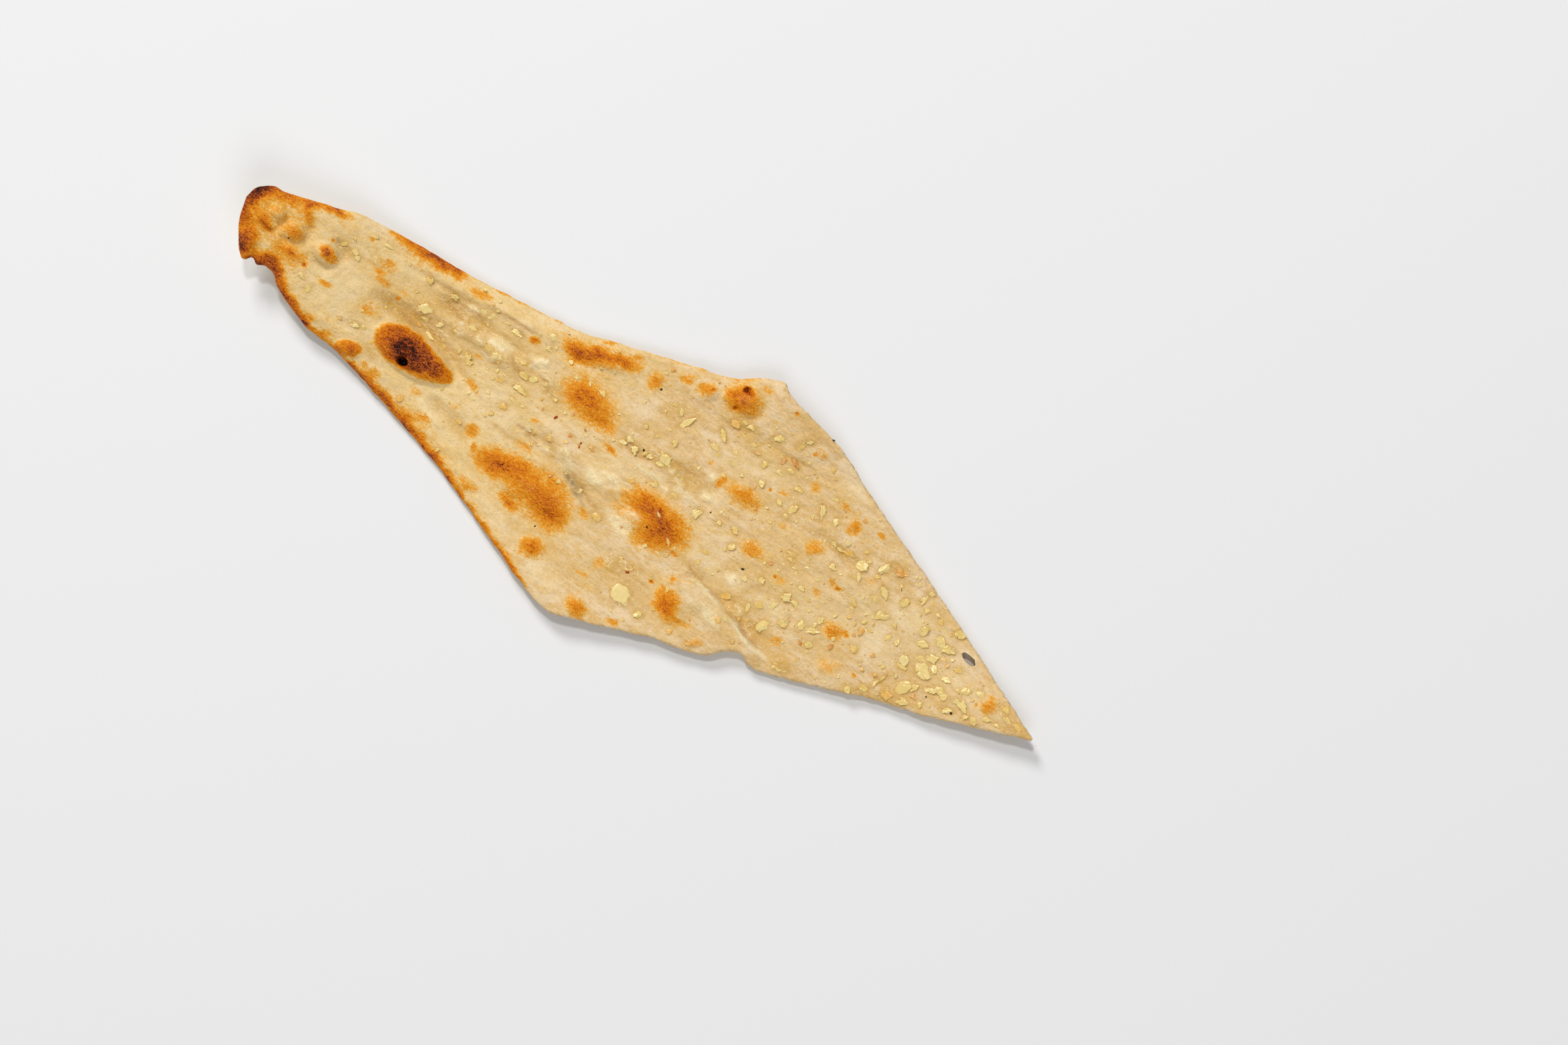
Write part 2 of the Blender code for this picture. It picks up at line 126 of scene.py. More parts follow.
# height (below zero for a valley), half width, line
folds = (
    (-1.7, 2.4, ((-96, 0.4), (-85, 0.2), (-76, -0.4), (-66, -2.6), (-57, -7))),
    (1.1, 2.6, ((-92, 5.4), (-74, 6), (-56, 6.6), (-44, 6))),
    (-0.9, 1.7, ((-86, 9.4), (-70, 10.2), (-55, 10.4), (-43, 10))),
    (0.8, 2, ((-90, 14.6), (-70, 16), (-50, 18), (-36, 20.5))),
    (-0.8, 1.8, ((-64, -15.6), (-54, -17.5), (-45, -19.4))),
    (-0.9, 1.5, ((-37, -6.4), (-29, -8.5), (-20, -9.6), (-13, -12.6), (-6, -15))),
    (0.9, 2.4, ((-38, -2), (-26, -3.4), (-12, -6.5), (-2, -9))),
    (-0.9, 1.6, ((-112, 7.2), (-108, 5.2), (-105.5, 2))),
    (-0.9, 1.7, ((-120.5, 6), (-118.6, 3.6), (-118.4, -1))),
    (-0.7, 1.8, ((50, 16.2), (61, 16), (70, 14.6))),
    (0.8, 2.6, ((44, 12), (62, 10), (82, 8.5))),
    (-0.7, 2.2, ((8, 8.4), (16, 8.8), (24, 8))),
    (-0.8, 2.4, ((28, -12.6), (40, -14.4), (52, -17.6), (64, -21))),
)
# the same for fine creases, which only the finished bread has
creases = (
    (0.55, 0.45, ((23, -21.6), (26, -18.2), (31, -16.1), (38, -16.3), (46, -18.4), (55, -21.5), (63, -23.3))),
    (0.35, 0.7, ((-52, 9.2), (-46, 10.6), (-39, 9.4), (-35, 7.8))),
    (-0.4, 0.8, ((-52, 8), (-45, 8.6), (-39, 8))), (0.35, 0.6, ((-31, -7.6), (-26, -8.8), (-20, -8.6))),
    (-0.5, 0.9, ((-90, 12.8), (-78, 13), (-66, 13.6))), (0.5, 0.45, ((-9, -1.4), (-4, -3), (2, -3.4))),
    (0.5, 0.4, ((-9, -4.4), (-4, -5.2), (0, -6.8))), (0.5, 0.4, ((-7, -7.4), (-2, -8.2), (2, -9.6))),
    (0.4, 0.45, ((-10, 2.6), (-5, 1), (-1, 0.6))),
    (0.4, 0.45, ((9, 5.2), (15, 4.6), (22, 3.2), (30, 2.4))), (-0.35, 0.8, ((-14, 8), (-6, 6.6), (2, 6.4))),
    (-0.4, 0.9, ((-128, 6.4), (-126.6, 3.2), (-127.2, -0.6), (-129.4, -4))),
    (-0.4, 0.9, ((-117, -1.2), (-113.4, -2.6), (-107, -1.8))),
    (-0.35, 0.8, ((-126, -2), (-122, -1.2), (-118, -1.8))),
    (-0.35, 1, ((-46, -11.5), (-38, -12.4), (-30, -11.6))),
    (-0.3, 0.8, ((44, 20.6), (49, 22.8), (54, 20.4))), (-0.35, 0.9, ((60, 17.6), (63, 15.4), (66.6, 13.2))),
    (-0.3, 0.9, ((24, 31), (32, 30), (41, 31.6))), (-0.3, 0.9, ((8, 27.6), (15, 28.6), (22, 30))),
    (-0.3, 0.8, ((54, -2), (60, -6.4), (62, -11))), (0.3, 0.7, ((56, 4.4), (66, 3.6), (74, 5))),
    (-0.3, 1.1, ((84, -8), (94, -8.6), (104, -7.6))), (-0.35, 1, ((-104, 14), (-97, 15), (-88, 15.4))),
    (0.3, 0.9, ((-66, -19), (-52, -22), (-40, -25.6))),
)
# a torn flap of skin that stands over the bread behind it
flap = {
    "line": ((22, -23), (25.5, -18.6), (31, -16), (38, -16.2), (46, -18.3), (55, -21.4), (64, -23.4)),
    "rise": 1.8,
    "reach": 15,  # how far behind the line it sinks back
    "lip": 1.1,  # width of the step at the line
}
# what only the finished bread has: height, length along, length across, layer of the noise
relief = {
    "swells": ((0.24, 5.5, 2.6, 2.2), (0.14, 2.4, 1.4, 6.1)),
    "bend": ((1.2, 9, 6, 3.9),),  # bends the fibres
    "fibres": ((0.14, 11, 1.5, 9.3), (0.07, 5, 0.8, 5.5)),
    "grain": ((0.045, 0.9, 0.8, 7.7),),
    "burntBlisters": ((0.16, 1.3, 1.1, 4.9),),
    "burntGrain": ((0.06, 0.7, 0.7, 1.9),),
    "ridge": 0.22,  # height of the light wrinkles
    "groove": 0.25,  # depth of the dark ones
    "filled": 0.4,  # share of the relief that a film of butter fills
}
# how the edges of what lies on the skin waver, along x and along y, in the same four numbers
wobbles = {
    "toast": (
        ((1.1, 3.4, 2.6, 11.2), (0.4, 1.1, 1, 12.7)), ((0.88, 3.4, 2.6, 14.6), (0.35, 1.1, 1, 15.1)),
    ),
    "film": (((0.8, 2.2, 1.6, 51), (0.3, 0.9, 0.8, 52)), ((0.6, 2.2, 1.6, 53), (0.25, 0.9, 0.8, 54))),
    "oilAndShade": (((1.6, 5, 3, 31.3),), ((1.2, 5, 3, 33.8),)),
    "veins": (((0.35, 1.6, 1.2, 61),), ((0.35, 1.6, 1.2, 62),)),
}


def smoothLine(points, step):
    knots = [Vector(p).to_2d() for p in points]
    knots = [2 * knots[0] - knots[1], *knots, 2 * knots[-1] - knots[-2]]
    line = []
    for a, b, c, d in zip(knots, knots[1:], knots[2:], knots[3:]):
        pieces = max(1, round((c - b).length / step))
        for i in range(pieces):
            t = i / pieces
            curve = 2 * b + (c - a) * t + (2 * a - 5 * b + 4 * c - d) * t * t
            line.append(0.5 * (curve + (3 * b - a - 3 * c + d) * t ** 3))
    return [*line, knots[-2]]


def breadOutline():
    # points round the piece, clockwise from the head, and how much of a baked crust each is
    step = bread["outlineStep"]
    upper = smoothLine((*bread["upperCrust"], *bread["rightCut"]), step)
    torn = smoothLine(bread["tornCut"], step)
    lower = smoothLine(bread["lowerCrust"], step)
    peak = bread["upperCrust"][-1]
    corners = (bread["tornCut"][0], bread["tornCut"][-1], peak)
    points = upper[:-1] + torn[:-1] + lower[:-1]
    crust = [float(p.x < peak[0]) for p in upper[:-1]] + [0.0] * (len(torn) - 1) + [1.0] * (len(lower) - 1)
    ragged = []
    for p, baked in zip(points, crust):
        toCorner = min((p - Vector(c)).length for c in corners)
        fray = sum(
            noise.noise(Vector((p.x / long, p.y / long, layer))) * (ifBaked if baked else ifCut)
            for long, layer, ifBaked, ifCut in bread["ragged"]
        )
        ragged.append((p.x, p.y + fray * min(1.0, toCorner / bread["calmCorner"])))
    scale = np.array(breadHigh - breadLow)[:2] / mm / np.array(bread["drawn"])
    crust = np.array(crust)
    blend = bread["crustBlend"]
    softened = sum(np.roll(crust, i) for i in range(-blend, blend + 1)) / (2 * blend + 1)
    return np.array(ragged) * scale, softened


def lineDistance(x, y, line):
    # distance from a line, side (above 0 on its left), share of the way along, nearest segment
    nearest = np.full(x.shape, 1e9)
    side = np.zeros(x.shape)
    share = np.zeros(x.shape)
    segment = np.zeros(x.shape, int)
    for i, ((ax, ay), (bx, by)) in enumerate(zip(line, line[1:])):
        dx, dy = bx - ax, by - ay
        t = np.clip(((x - ax) * dx + (y - ay) * dy) / (dx * dx + dy * dy), 0, 1)
        offX, offY = x - ax - t * dx, y - ay - t * dy
        away = np.hypot(offX, offY)
        closer = away < nearest
        nearest = np.where(closer, away, nearest)
        side = np.where(closer, dx * offY - dy * offX, side)
        share = np.where(closer, (i + t) / (len(line) - 1), share)
        segment = np.where(closer, i, segment)
    return nearest, side, share, segment


def ramp(value, low, high):
    t = np.clip((value - low) / (high - low), 0, 1)
    return t * t * (3 - 2 * t)


def rolling(x, y, long, across, layer):
    # smooth noise of about -1 to 1, drawn out along the bread
    return np.array([noise.noise(Vector((a / long, b / across, layer))) for a, b in zip(x, y)])


def layered(x, y, layers, start=0):
    total = start
    for high, long, across, layer in layers:
        total = total + high * rolling(x, y, long, across, layer)
    return total


def wavered(x, y, kind):
    alongX, alongY = wobbles[kind]
    return layered(x, y, alongX, x), layered(x, y, alongY, y)


def ellipse(x, y, atX, atY, halfLong, halfWide, turn):
    # 0 in its middle and 1 on its edge
    c, s = math.cos(math.radians(turn)), math.sin(math.radians(turn))
    u = ((x - atX) * c + (y - atY) * s) / halfLong
    v = ((y - atY) * c - (x - atX) * s) / halfWide
    return u * u + v * v


def foldHeight(x, y, height, halfWidth, line):
    away, _, share, _ = lineDistance(x, y, line)
    fade = ramp(share, -0.01, 0.22) * ramp(-share, -1.01, -0.78)
    return height * np.exp(-((away / halfWidth) ** 2)) * fade


def flapHeight(x, y):
    away, side, share, _ = lineDistance(x, y, flap["line"])
    behind = np.where(side < 0, away, -away)
    step = ramp(behind, -flap["lip"] / 2, flap["lip"] / 2) * ramp(-behind, -flap["reach"], -2)
    return flap["rise"] * step * ramp(share, 0, 0.2) * ramp(-share, -1.0, -0.8)


def undersideHeight(x, y):
    lift = np.zeros(x.shape)
    for axis, start, length, height, power in bread["curls"]:
        lift = lift + height * np.clip(((x, y)[axis] - start) / length, 0, 1) ** power
    middle, flat, full = bread["flatMiddle"]
    waves = layered(x, y, bread["waves"]) * ramp(np.hypot(x - middle, y * 1.6), flat, full)
    return np.maximum(lift + waves - bread["settle"], 0)


def breadThickness(x, y):
    deep = layered(x, y, bread["lumps"], bread["dough"])
    for atX, atY, halfLong, halfWide, turn, height, steep in blisters:
        inside = np.clip(1 - ellipse(x, y, atX, atY, halfLong, halfWide, turn), 0, 1)
        deep = deep + height * inside ** steep
    for one in folds:
        deep = deep + foldHeight(x, y, *one)
    return np.maximum(deep + flapHeight(x, y), bread["thinnest"])


def filmOver(x, y):
    # how wet the skin is, and the height that the film adds
    wavyX, wavyY = wavered(x, y, "film")
    wet, high = np.zeros(x.shape), np.zeros(x.shape)
    for atX, atY, halfLong, halfWide, turn, thick in films:
        inside = 1 - ellipse(wavyX, wavyY, atX, atY, halfLong, halfWide, turn)
        wet = np.maximum(wet, ramp(inside, -0.1, 0.35))
        high = np.maximum(high, thick * np.clip(inside, 0, 1) ** 0.6)
    return wet, high


def veinsAt(x, y, kind):
    wavyX, wavyY = wavered(x, y, "veins")
    return np.max([foldHeight(wavyX, wavyY, 1, *one) for one in veins[kind]], axis=0)


def fineRelief(x, y, toasted):
    high = np.zeros(x.shape)
    for atX, atY, halfLong, halfWide, turn, height in bubbles:
        high += height * np.clip(1 - ellipse(x, y, atX, atY, halfLong, halfWide, turn), 0, 1) ** 1.4
    for one in creases:
        high += foldHeight(x, y, *one)
    high += layered(x, y, relief["swells"])
    high += layered(x, layered(x, y, relief["bend"], y), relief["fibres"])
    high += layered(x, y, relief["grain"])
    high += toasted * (np.abs(layered(x, y, relief["burntBlisters"])) + layered(x, y, relief["burntGrain"]))
    for atX, atY, halfLong, halfWide, depth in pits:
        high -= depth * ramp(-ellipse(x, y, atX, atY, halfLong, halfWide, 0), -1.5, -0.5)
    wet, film = filmOver(x, y)
    high += relief["ridge"] * veinsAt(x, y, "light") - relief["groove"] * veinsAt(x, y, "dark")
    return high * (1 - relief["filled"] * wet) + film


# x, y, half length, half width, turn, strength (0.3 golden, 0.5 orange brown, 0.7 dark brown, 1 black)
toast = {
    "spots": (
        # the head
        (-137.4, 7, 3.2, 4.4, -30, 0.5), (-131.4, 8.2, 5.8, 2.4, 12, 0.4), (-124, 11.2, 2.4, 1.8, 0, 0.34),
        (-122.6, 8.4, 3.6, 1.9, -55, 0.44), (-115.6, 13.7, 4.4, 1.5, 12, 0.5),
        (-123, 1.2, 3, 1.8, -10, 0.46), (-111.8, 1.7, 3, 2.3, 0, 0.42), (-112.2, 1.6, 1.7, 1.5, 0, 0.42),
        (-109, 0.7, 1.9, 1.6, 0, 0.38), (-131, -1, 3.8, 1.8, -22, 0.56), (-129.9, -1.6, 1.8, 1.2, 0, 0.24),
        (-120.4, -4, 4.6, 1.9, 3, 0.54), (-132.4, -7.2, 3.2, 3.6, 25, 0.46),
        (-134.8, -4.4, 2.4, 3.4, 25, 0.3), (-124.6, -9, 3.8, 2.4, 10, 0.5),
        (-120.8, -10.2, 4, 2.2, -30, 0.46), (-115.6, -4.6, 0.9, 0.7, 0, 0.7),
        (-112.9, 6.5, 0.9, 0.8, 0, 0.5), (-94.8, 9.5, 2.8, 2, 0, 0.28), (-96.5, 6.6, 1.2, 0.8, 0, 0.42),
        (-93.8, 4.6, 3, 1.8, -10, 0.33), (-86.9, 4.8, 2.5, 0.9, 0, 0.26), (-87.5, 3.1, 0.8, 0.6, 0, 0.46),
        (-93.2, -5.6, 2.4, 1.7, 0, 0.3), (-107.4, -6, 2.6, 1.1, 0, 0.38), (-103.2, 13, 0.9, 0.8, 0, 0.34),
        (-91, -17.5, 4.4, 2.4, 20, 0.36), (-99, -17.8, 2.6, 1.5, 0, 0.34),
        (-80.6, -19.1, 2.2, 1.7, 0, 0.28), (-86, 18.4, 9, 2.2, 4, 0.46), (-79, 18.6, 4, 1.8, 0, 0.28),
        (-84.2, -18.6, 1.4, 1, 0, 0.2),
        # inside the big blister
        (-78.6, -8, 7.4, 5.4, 5, 0.42), (-77.4, -9.2, 4.6, 3.4, 0, 0.3), (-81, -6, 3.4, 2.6, 0, 0.2),
        # upper side
        (-36, 19.8, 4.6, 3, -10, 0.6), (-31, 21.9, 5.4, 3, 32, 0.56), (-23.4, 25, 7.2, 2.6, 18, 0.56),
        (-29.2, 28.2, 2.8, 1.3, 35, 0.34), (-20.6, 28.9, 3.7, 1.1, 15, 0.2),
        (-11.6, 26.1, 2.9, 2.7, 0, 0.41), (-27, 10.4, 5.9, 4.7, -12, 0.44),
        (-20.4, 10.4, 6.6, 4.2, -8, 0.28), (-17.8, 7, 5.6, 2.8, -14, 0.22), (-30.6, 8.4, 4.8, 3.1, 0, 0.12),
        (-22, 10, 9, 5.6, -8, 0.12), (-47.7, 15.8, 1.8, 1.3, 0, 0.52), (-68, 17.4, 3.2, 1.8, 10, 0.36),
        (-58.4, 2.2, 2.4, 1, 0, 0.23), (13.6, 36.4, 5.8, 4.4, -10, 0.46), (10.8, 36, 3.5, 4, 0, 0.28),
        (12.5, 39.2, 1.6, 1.3, 30, 0.8), (12.2, 33.1, 0.8, 0.6, 0, 0.7), (2.2, 32.6, 3, 2.2, 35, 0.38),
        (3.6, 33.6, 0.9, 0.6, 20, 0.6), (-4.4, 31.9, 2.9, 1.6, 10, 0.31), (17.4, 42.6, 1.8, 1.2, 0, 0.3),
        (27.8, 41.8, 1, 0.5, -20, 0.55), (40.6, 36.4, 3, 2, 0, 0.21), (38.8, 35.6, 0.9, 0.7, 0, 0.3),
        (28.9, 13.1, 5.8, 3, 0, 0.41), (20.9, 12.8, 1.5, 2.5, -10, 0.38), (43.3, 12.8, 1.9, 1.2, 0, 0.2),
        (54.6, 12.8, 3.5, 2.8, 35, 0.3), (60.4, 24.6, 2.6, 2.9, 0, 0.33), (55.3, 27.8, 2.6, 1.5, 0, 0.25),
        (44.8, 27.4, 2.2, 1.6, 10, 0.25), (37.6, 20.9, 2.6, 1.1, 10, 0.23), (15.1, 16.3, 2.4, 1, 0, 0.21),
        (68.8, 26.6, 1.4, 1.1, 0, 0.33), (73.6, 13.8, 2.4, 2.1, 0, 0.16), (64.7, 7.2, 2.6, 1.3, -15, 0.25),
        (66.6, 6.4, 0.7, 0.5, 0, 0.55), (62.6, 2.5, 1.8, 1.6, 0, 0.23), (123.2, 4.1, 2.5, 2.8, 0, 0.38),
        (119.7, 1.9, 0.8, 0.7, 0, 0.4), (80.4, 21.3, 1.8, 1.6, 0, 0.18), (34.5, 19.4, 0.7, 0.5, 0, 0.6),
        # lower side
        (-54.7, -5.5, 2.9, 1.8, -25, 0.3), (-47.6, -16.4, 3.1, 2.1, 0, 0.37),
        (-44.4, -20.4, 2, 1, -55, 0.33), (-61.9, -21.8, 2.4, 1.3, 0, 0.36), (-67.9, -17, 2.2, 1.6, 0, 0.2),
        (-65.5, -23.6, 2.2, 1.3, 0, 0.28), (-56, -13.9, 1.5, 1.2, 0, 0.16),
        (-39.2, -30.2, 3.7, 1.7, 4, 0.33), (-34.2, -3.6, 1.8, 0.9, 0, 0.25),
        (-31.8, -11.3, 3.5, 1.1, 0, 0.25), (-36.2, -20.4, 6.8, 4.1, 8, 0.6),
        (-28, -17.6, 6.6, 3.4, 0, 0.42), (-17.4, -21.4, 7.2, 6, 0, 0.5), (-12.6, -24.4, 4.8, 3.8, 0, 0.3),
        (-24, -21, 12, 5, 0, 0.1), (-19.6, -14.8, 4.4, 1.9, 0, 0.28), (-26.8, -27.6, 3.8, 2.1, -5, 0.54),
        (-26, -22, 6, 3, 0, 0.26), (-13.6, -34.5, 3.9, 3.1, 0, 0.54), (-11.2, 2, 3.3, 1.3, -5, 0.28),
        (-10.8, 1.9, 1, 0.8, 0, 0.3), (5.2, -4.6, 6.2, 3.6, 0, 0.4), (10.6, -4.6, 6.2, 3.4, -6, 0.38),
        (17.6, -7.2, 6.4, 5.4, -20, 0.44), (12.8, -12.6, 5.5, 4.3, 10, 0.38), (12.6, -8.4, 6, 4, 0, 0.38),
        (1.6, -10.8, 4, 2.7, 0, 0.16), (11.4, -4.4, 1.8, 0.9, -30, 0.37), (5.6, -7.4, 5.1, 2.2, 0, 0.23),
        (40.1, 1.9, 4.6, 2.4, 0, 0.34), (51.2, -0.8, 2.9, 1.5, 0, 0.28), (49.6, -1.2, 0.6, 0.5, 0, 0.6),
        (28, -24.6, 4.4, 3.8, 0, 0.52), (30.4, -27.8, 4.2, 2.7, -15, 0.34),
        (35.6, -27.8, 3.5, 1.3, 0, 0.23), (7.6, -41.9, 4, 2.9, -30, 0.41), (18.5, -39.1, 2.4, 1.7, 0, 0.33),
        (3.2, -32.9, 2.4, 1.2, 0, 0.21), (4.9, -27, 2.1, 2.2, 0, 0.25), (20.8, -22.2, 0.9, 0.7, 0, 0.7),
        (25.8, -18.4, 1.4, 1.3, 0, 0.33), (22, -12.5, 1.2, 0.8, 0, 0.42), (-7, -17.6, 1.9, 1.6, 0, 0.28),
        (73, -4.4, 3.3, 3.1, 20, 0.34), (76.6, -3.2, 1.2, 0.8, 0, 0.34), (78, -13.4, 4.6, 3.4, 10, 0.2),
        (60.9, -16.1, 1.8, 1.6, 0, 0.25), (85.3, -10.6, 1, 0.8, 0, 0.36), (67.1, -12.7, 0.7, 0.7, 0, 0.5),
        (41.4, -30.4, 2.4, 1.3, 45, 0.33),
    ),
    # blisters, browned right up to their rims
    "crisp": (
        (-77.6, -8.1, 9.9, 6, 0, 0.48), (-72.6, -8.3, 8.8, 5.3, 0, 0.32),
        (-68.2, -8.3, 7.6, 3.9, 0, 0.24), (-65.2, -8.2, 4.8, 2.5, 0, 0.36),
        (-91, -17.5, 4.2, 2.3, 20, 0.3), (-75.8, -11.6, 1.5, 1.2, 0, 1),
    ),
    # wide faint gold
    "glow": (
        (-127, 4, 14, 12, 10, 0.22), (-136, -1, 6, 11, 10, 0.26), (-120, -6, 9, 6, -20, 0.2),
        (-98, 7, 7, 6, 0, 0.14), (-92, -3, 8, 4, 0, 0.14), (-108, 12, 12, 4, 10, 0.1),
        (-74, -9, 19, 10, 0, 0.12), (-88, 15, 14, 5, 0, 0.14), (-100, -14, 12, 4, -12, 0.12),
        (-30, 22, 16, 8, 20, 0.16), (-24, 9, 15, 10, -10, 0.18), (-24, -21, 22, 12, 0, 0.2),
        (10, -7, 20, 13, -8, 0.18), (13, 37, 10, 8, 0, 0.14), (29, -26, 10, 8, -20, 0.12),
        (28, 13, 11, 6, 0, 0.12), (-13, -34, 9, 7, 0, 0.1), (7, -41, 8, 6, 0, 0.12),
        (60, -18, 16, 6, -20, 0.1), (-60, -24, 18, 5, -16, 0.14), (-50, 21, 16, 3, 8, 0.1),
        (100, -8, 18, 6, 18, 0.08), (122, 3, 10, 5, -8, 0.1), (-2, 34, 14, 5, 24, 0.1),
        (54, 13, 9, 7, 0, 0.08), (72, -5, 8, 7, 0, 0.08), (40, 2, 9, 5, 0, 0.08), (-72, 18, 9, 4, 0, 0.12),
    ),
    # strength, half width, line: browned along the baked edges
    "rims": (
        (0.68, 2.2, ((-134.6, 9.6), (-138.4, 7), (-140, 2), (-139.2, -3), (-137, -7))),
        (0.52, 3.4, ((-135, 9.4), (-138.8, 6.4), (-139.8, 3), (-139, -3), (-135.6, -9), (-131, -13.6))),
        (0.56, 1.5, ((-137, -7), (-134, -10.6), (-131, -13.6), (-129, -11.6))),
        (0.42, 1.5, ((-136, 9.6), (-130, 10.4), (-122, 12.8), (-114, 15.8))),
        (0.86, 2, ((-130.6, -12.2), (-126.6, -12.2), (-122, -11.6), (-119, -13.2))),
        (0.56, 1.3, ((-121, -12.4), (-116, -15), (-109, -17.8), (-103, -19.2))),
        (0.3, 2.4, ((-121, -12.4), (-116, -15), (-109, -17.8), (-103, -19.2))),
        (0.5, 0.8, ((-109, -18.2), (-100, -19.6), (-90, -21.2), (-82, -22.4))),
        (0.52, 1.7, ((-102, 18.4), (-93, 19.2), (-84, 20), (-74, 20.6))),
        (0.3, 0.5, ((-76, 20.6), (-60, 22.6), (-44, 24.6), (-34, 27))),
        (0.2, 0.5, ((-20, 31.2), (-5, 36.4), (8, 40.6), (16, 45.8))),
        (0.54, 1.5, ((-90, -21), (-80, -22.6), (-70, -24.8))),
        (0.64, 1.4, ((-74, -24), (-62, -27.2), (-50, -31), (-42, -33.8))),
        (0.54, 1, ((-45, -32.8), (-34, -36.6), (-20, -41.4), (-6, -46.2))),
        (0.2, 2.6, ((-90, -21), (-70, -24.8), (-50, -31), (-30, -38), (-10, -44.8))),
    ),
    "crispWaver": 0.35,  # share of the wavering that the blisters' rims get
    "rimPatches": ((0.35, 5, 5, 21.5),),  # makes the browned edges uneven
    "rimShare": 0.9,
}
# x, y, half length, half width, turn, strength: thin grey smudges
soot = (
    (-16.4, -11.6, 2.2, 0.9, -15, 0.7), (-11.8, -13.8, 2.2, 1.2, -25, 0.8),
    (-14, -12.8, 3.6, 1.8, -20, 0.4), (-14.6, -12.2, 0.8, 0.6, 0, 0.7), (-12.9, -13.1, 0.6, 0.5, 0, 0.6),
    (19.4, -14, 1.6, 1.1, 20, 0.5), (-9, -15.6, 1.6, 0.8, -30, 0.35), (-42.6, 16.1, 1.2, 1, 0, 0.25),
)
# x, y, half length, half width, turn, strength: where butter has soaked in
oilAndShade = {
    "spots": (
        (-80, 4, 13, 6, 0, 0.56), (-63, 6, 15, 6.5, 0, 0.42), (-47, 7, 12, 4.5, 0, 0.5),
        (-74, 9.4, 9, 2.4, 3, 0.5), (-88, 4, 7, 5, 0, 0.3), (-94, -7, 7, 4, 0, 0.25),
        (-112, 3, 20, 9, 0, 0.12), (-30, 4, 9, 4, 0, 0.3), (-60, -3, 4, 1.6, -20, 0.5),
        # this one darkens the groove over the big blister: soaked butter and painted shade
        (-84, 0, 12, 2.4, 0, 1),
       
        (-66, 9.4, 10, 2.2, 2, 0.45), (-86, 8, 8, 3, 0, 0.4), (-86, -14, 5, 3, 0, 0.75),
        (-40, 8.6, 7, 2, 4, 0.5), (-68, -1.6, 7, 1.8, -12, 0.7), (13, 8, 8.6, 3.6, 0, 0.95),
        (2, 8.6, 7, 2.6, 0, 0.45), (31, -13.2, 9, 2.4, -8, 0.65), (44, -15.4, 8, 2.4, -16, 0.7),
        (55, -18.6, 7, 2, -18, 0.6), (12, -26, 10, 6, 0, 0.5), (-20, -10, 12, 2.6, -14, 0.5),
        (-117.5, -1, 7, 4, 0, 0.55), (-127, 3, 2.4, 4, 0, 0.5), (-108, 6.2, 4.4, 2.4, -20, 0.5),
        (-58, -16.6, 9, 2, -10, 0.45), (33, 40.6, 8, 2.6, -12, 0.5), (16, 30, 6.5, 3, 0, 0.5),
        (50, -8, 9, 6, 0, 0.4), (130, 3, 10, 3, -2, 0.5), (99, 4, 13, 9, 0, 0.36),
        (66, -20.6, 8, 3, -20, 0.6), (92, -13, 12, 2, 18, 0.5), (-45, 13, 10, 2.5, 5, 0.4),
        (-75, 13, 12, 2, 4, 0.3), (-2.5, 22, 5, 6, 0, 0.3), (-34, 6.5, 4, 3, 0, 0.6),
        (63, 17, 6, 2, 0, 0.35), (23, -30, 6, 4, 0, 0.35), (80, 20, 5, 3, 0, 0.3), (-97, 12, 9, 3, 0, 0.1),
        (112, -3, 8, 3, 20, 0.35), (46, -24, 8, 3, -20, 0.3), (-4, -16, 6, 3, 0, 0.35),
        (36, 33, 5, 5, 40, 0.3), (67, -9, 6, 4, 0, 0.35),
    ),
    # the folds' valleys and the rings round the garlic are darkened by soaked butter and painted shade
    "valley": 0.5,  # how much of it lies in the folds and creases
    "oilAndShadowRingWidth": 0.8,  # of the ring round each piece of garlic
    "oilAndShadowRingStrength": 0.8,
}
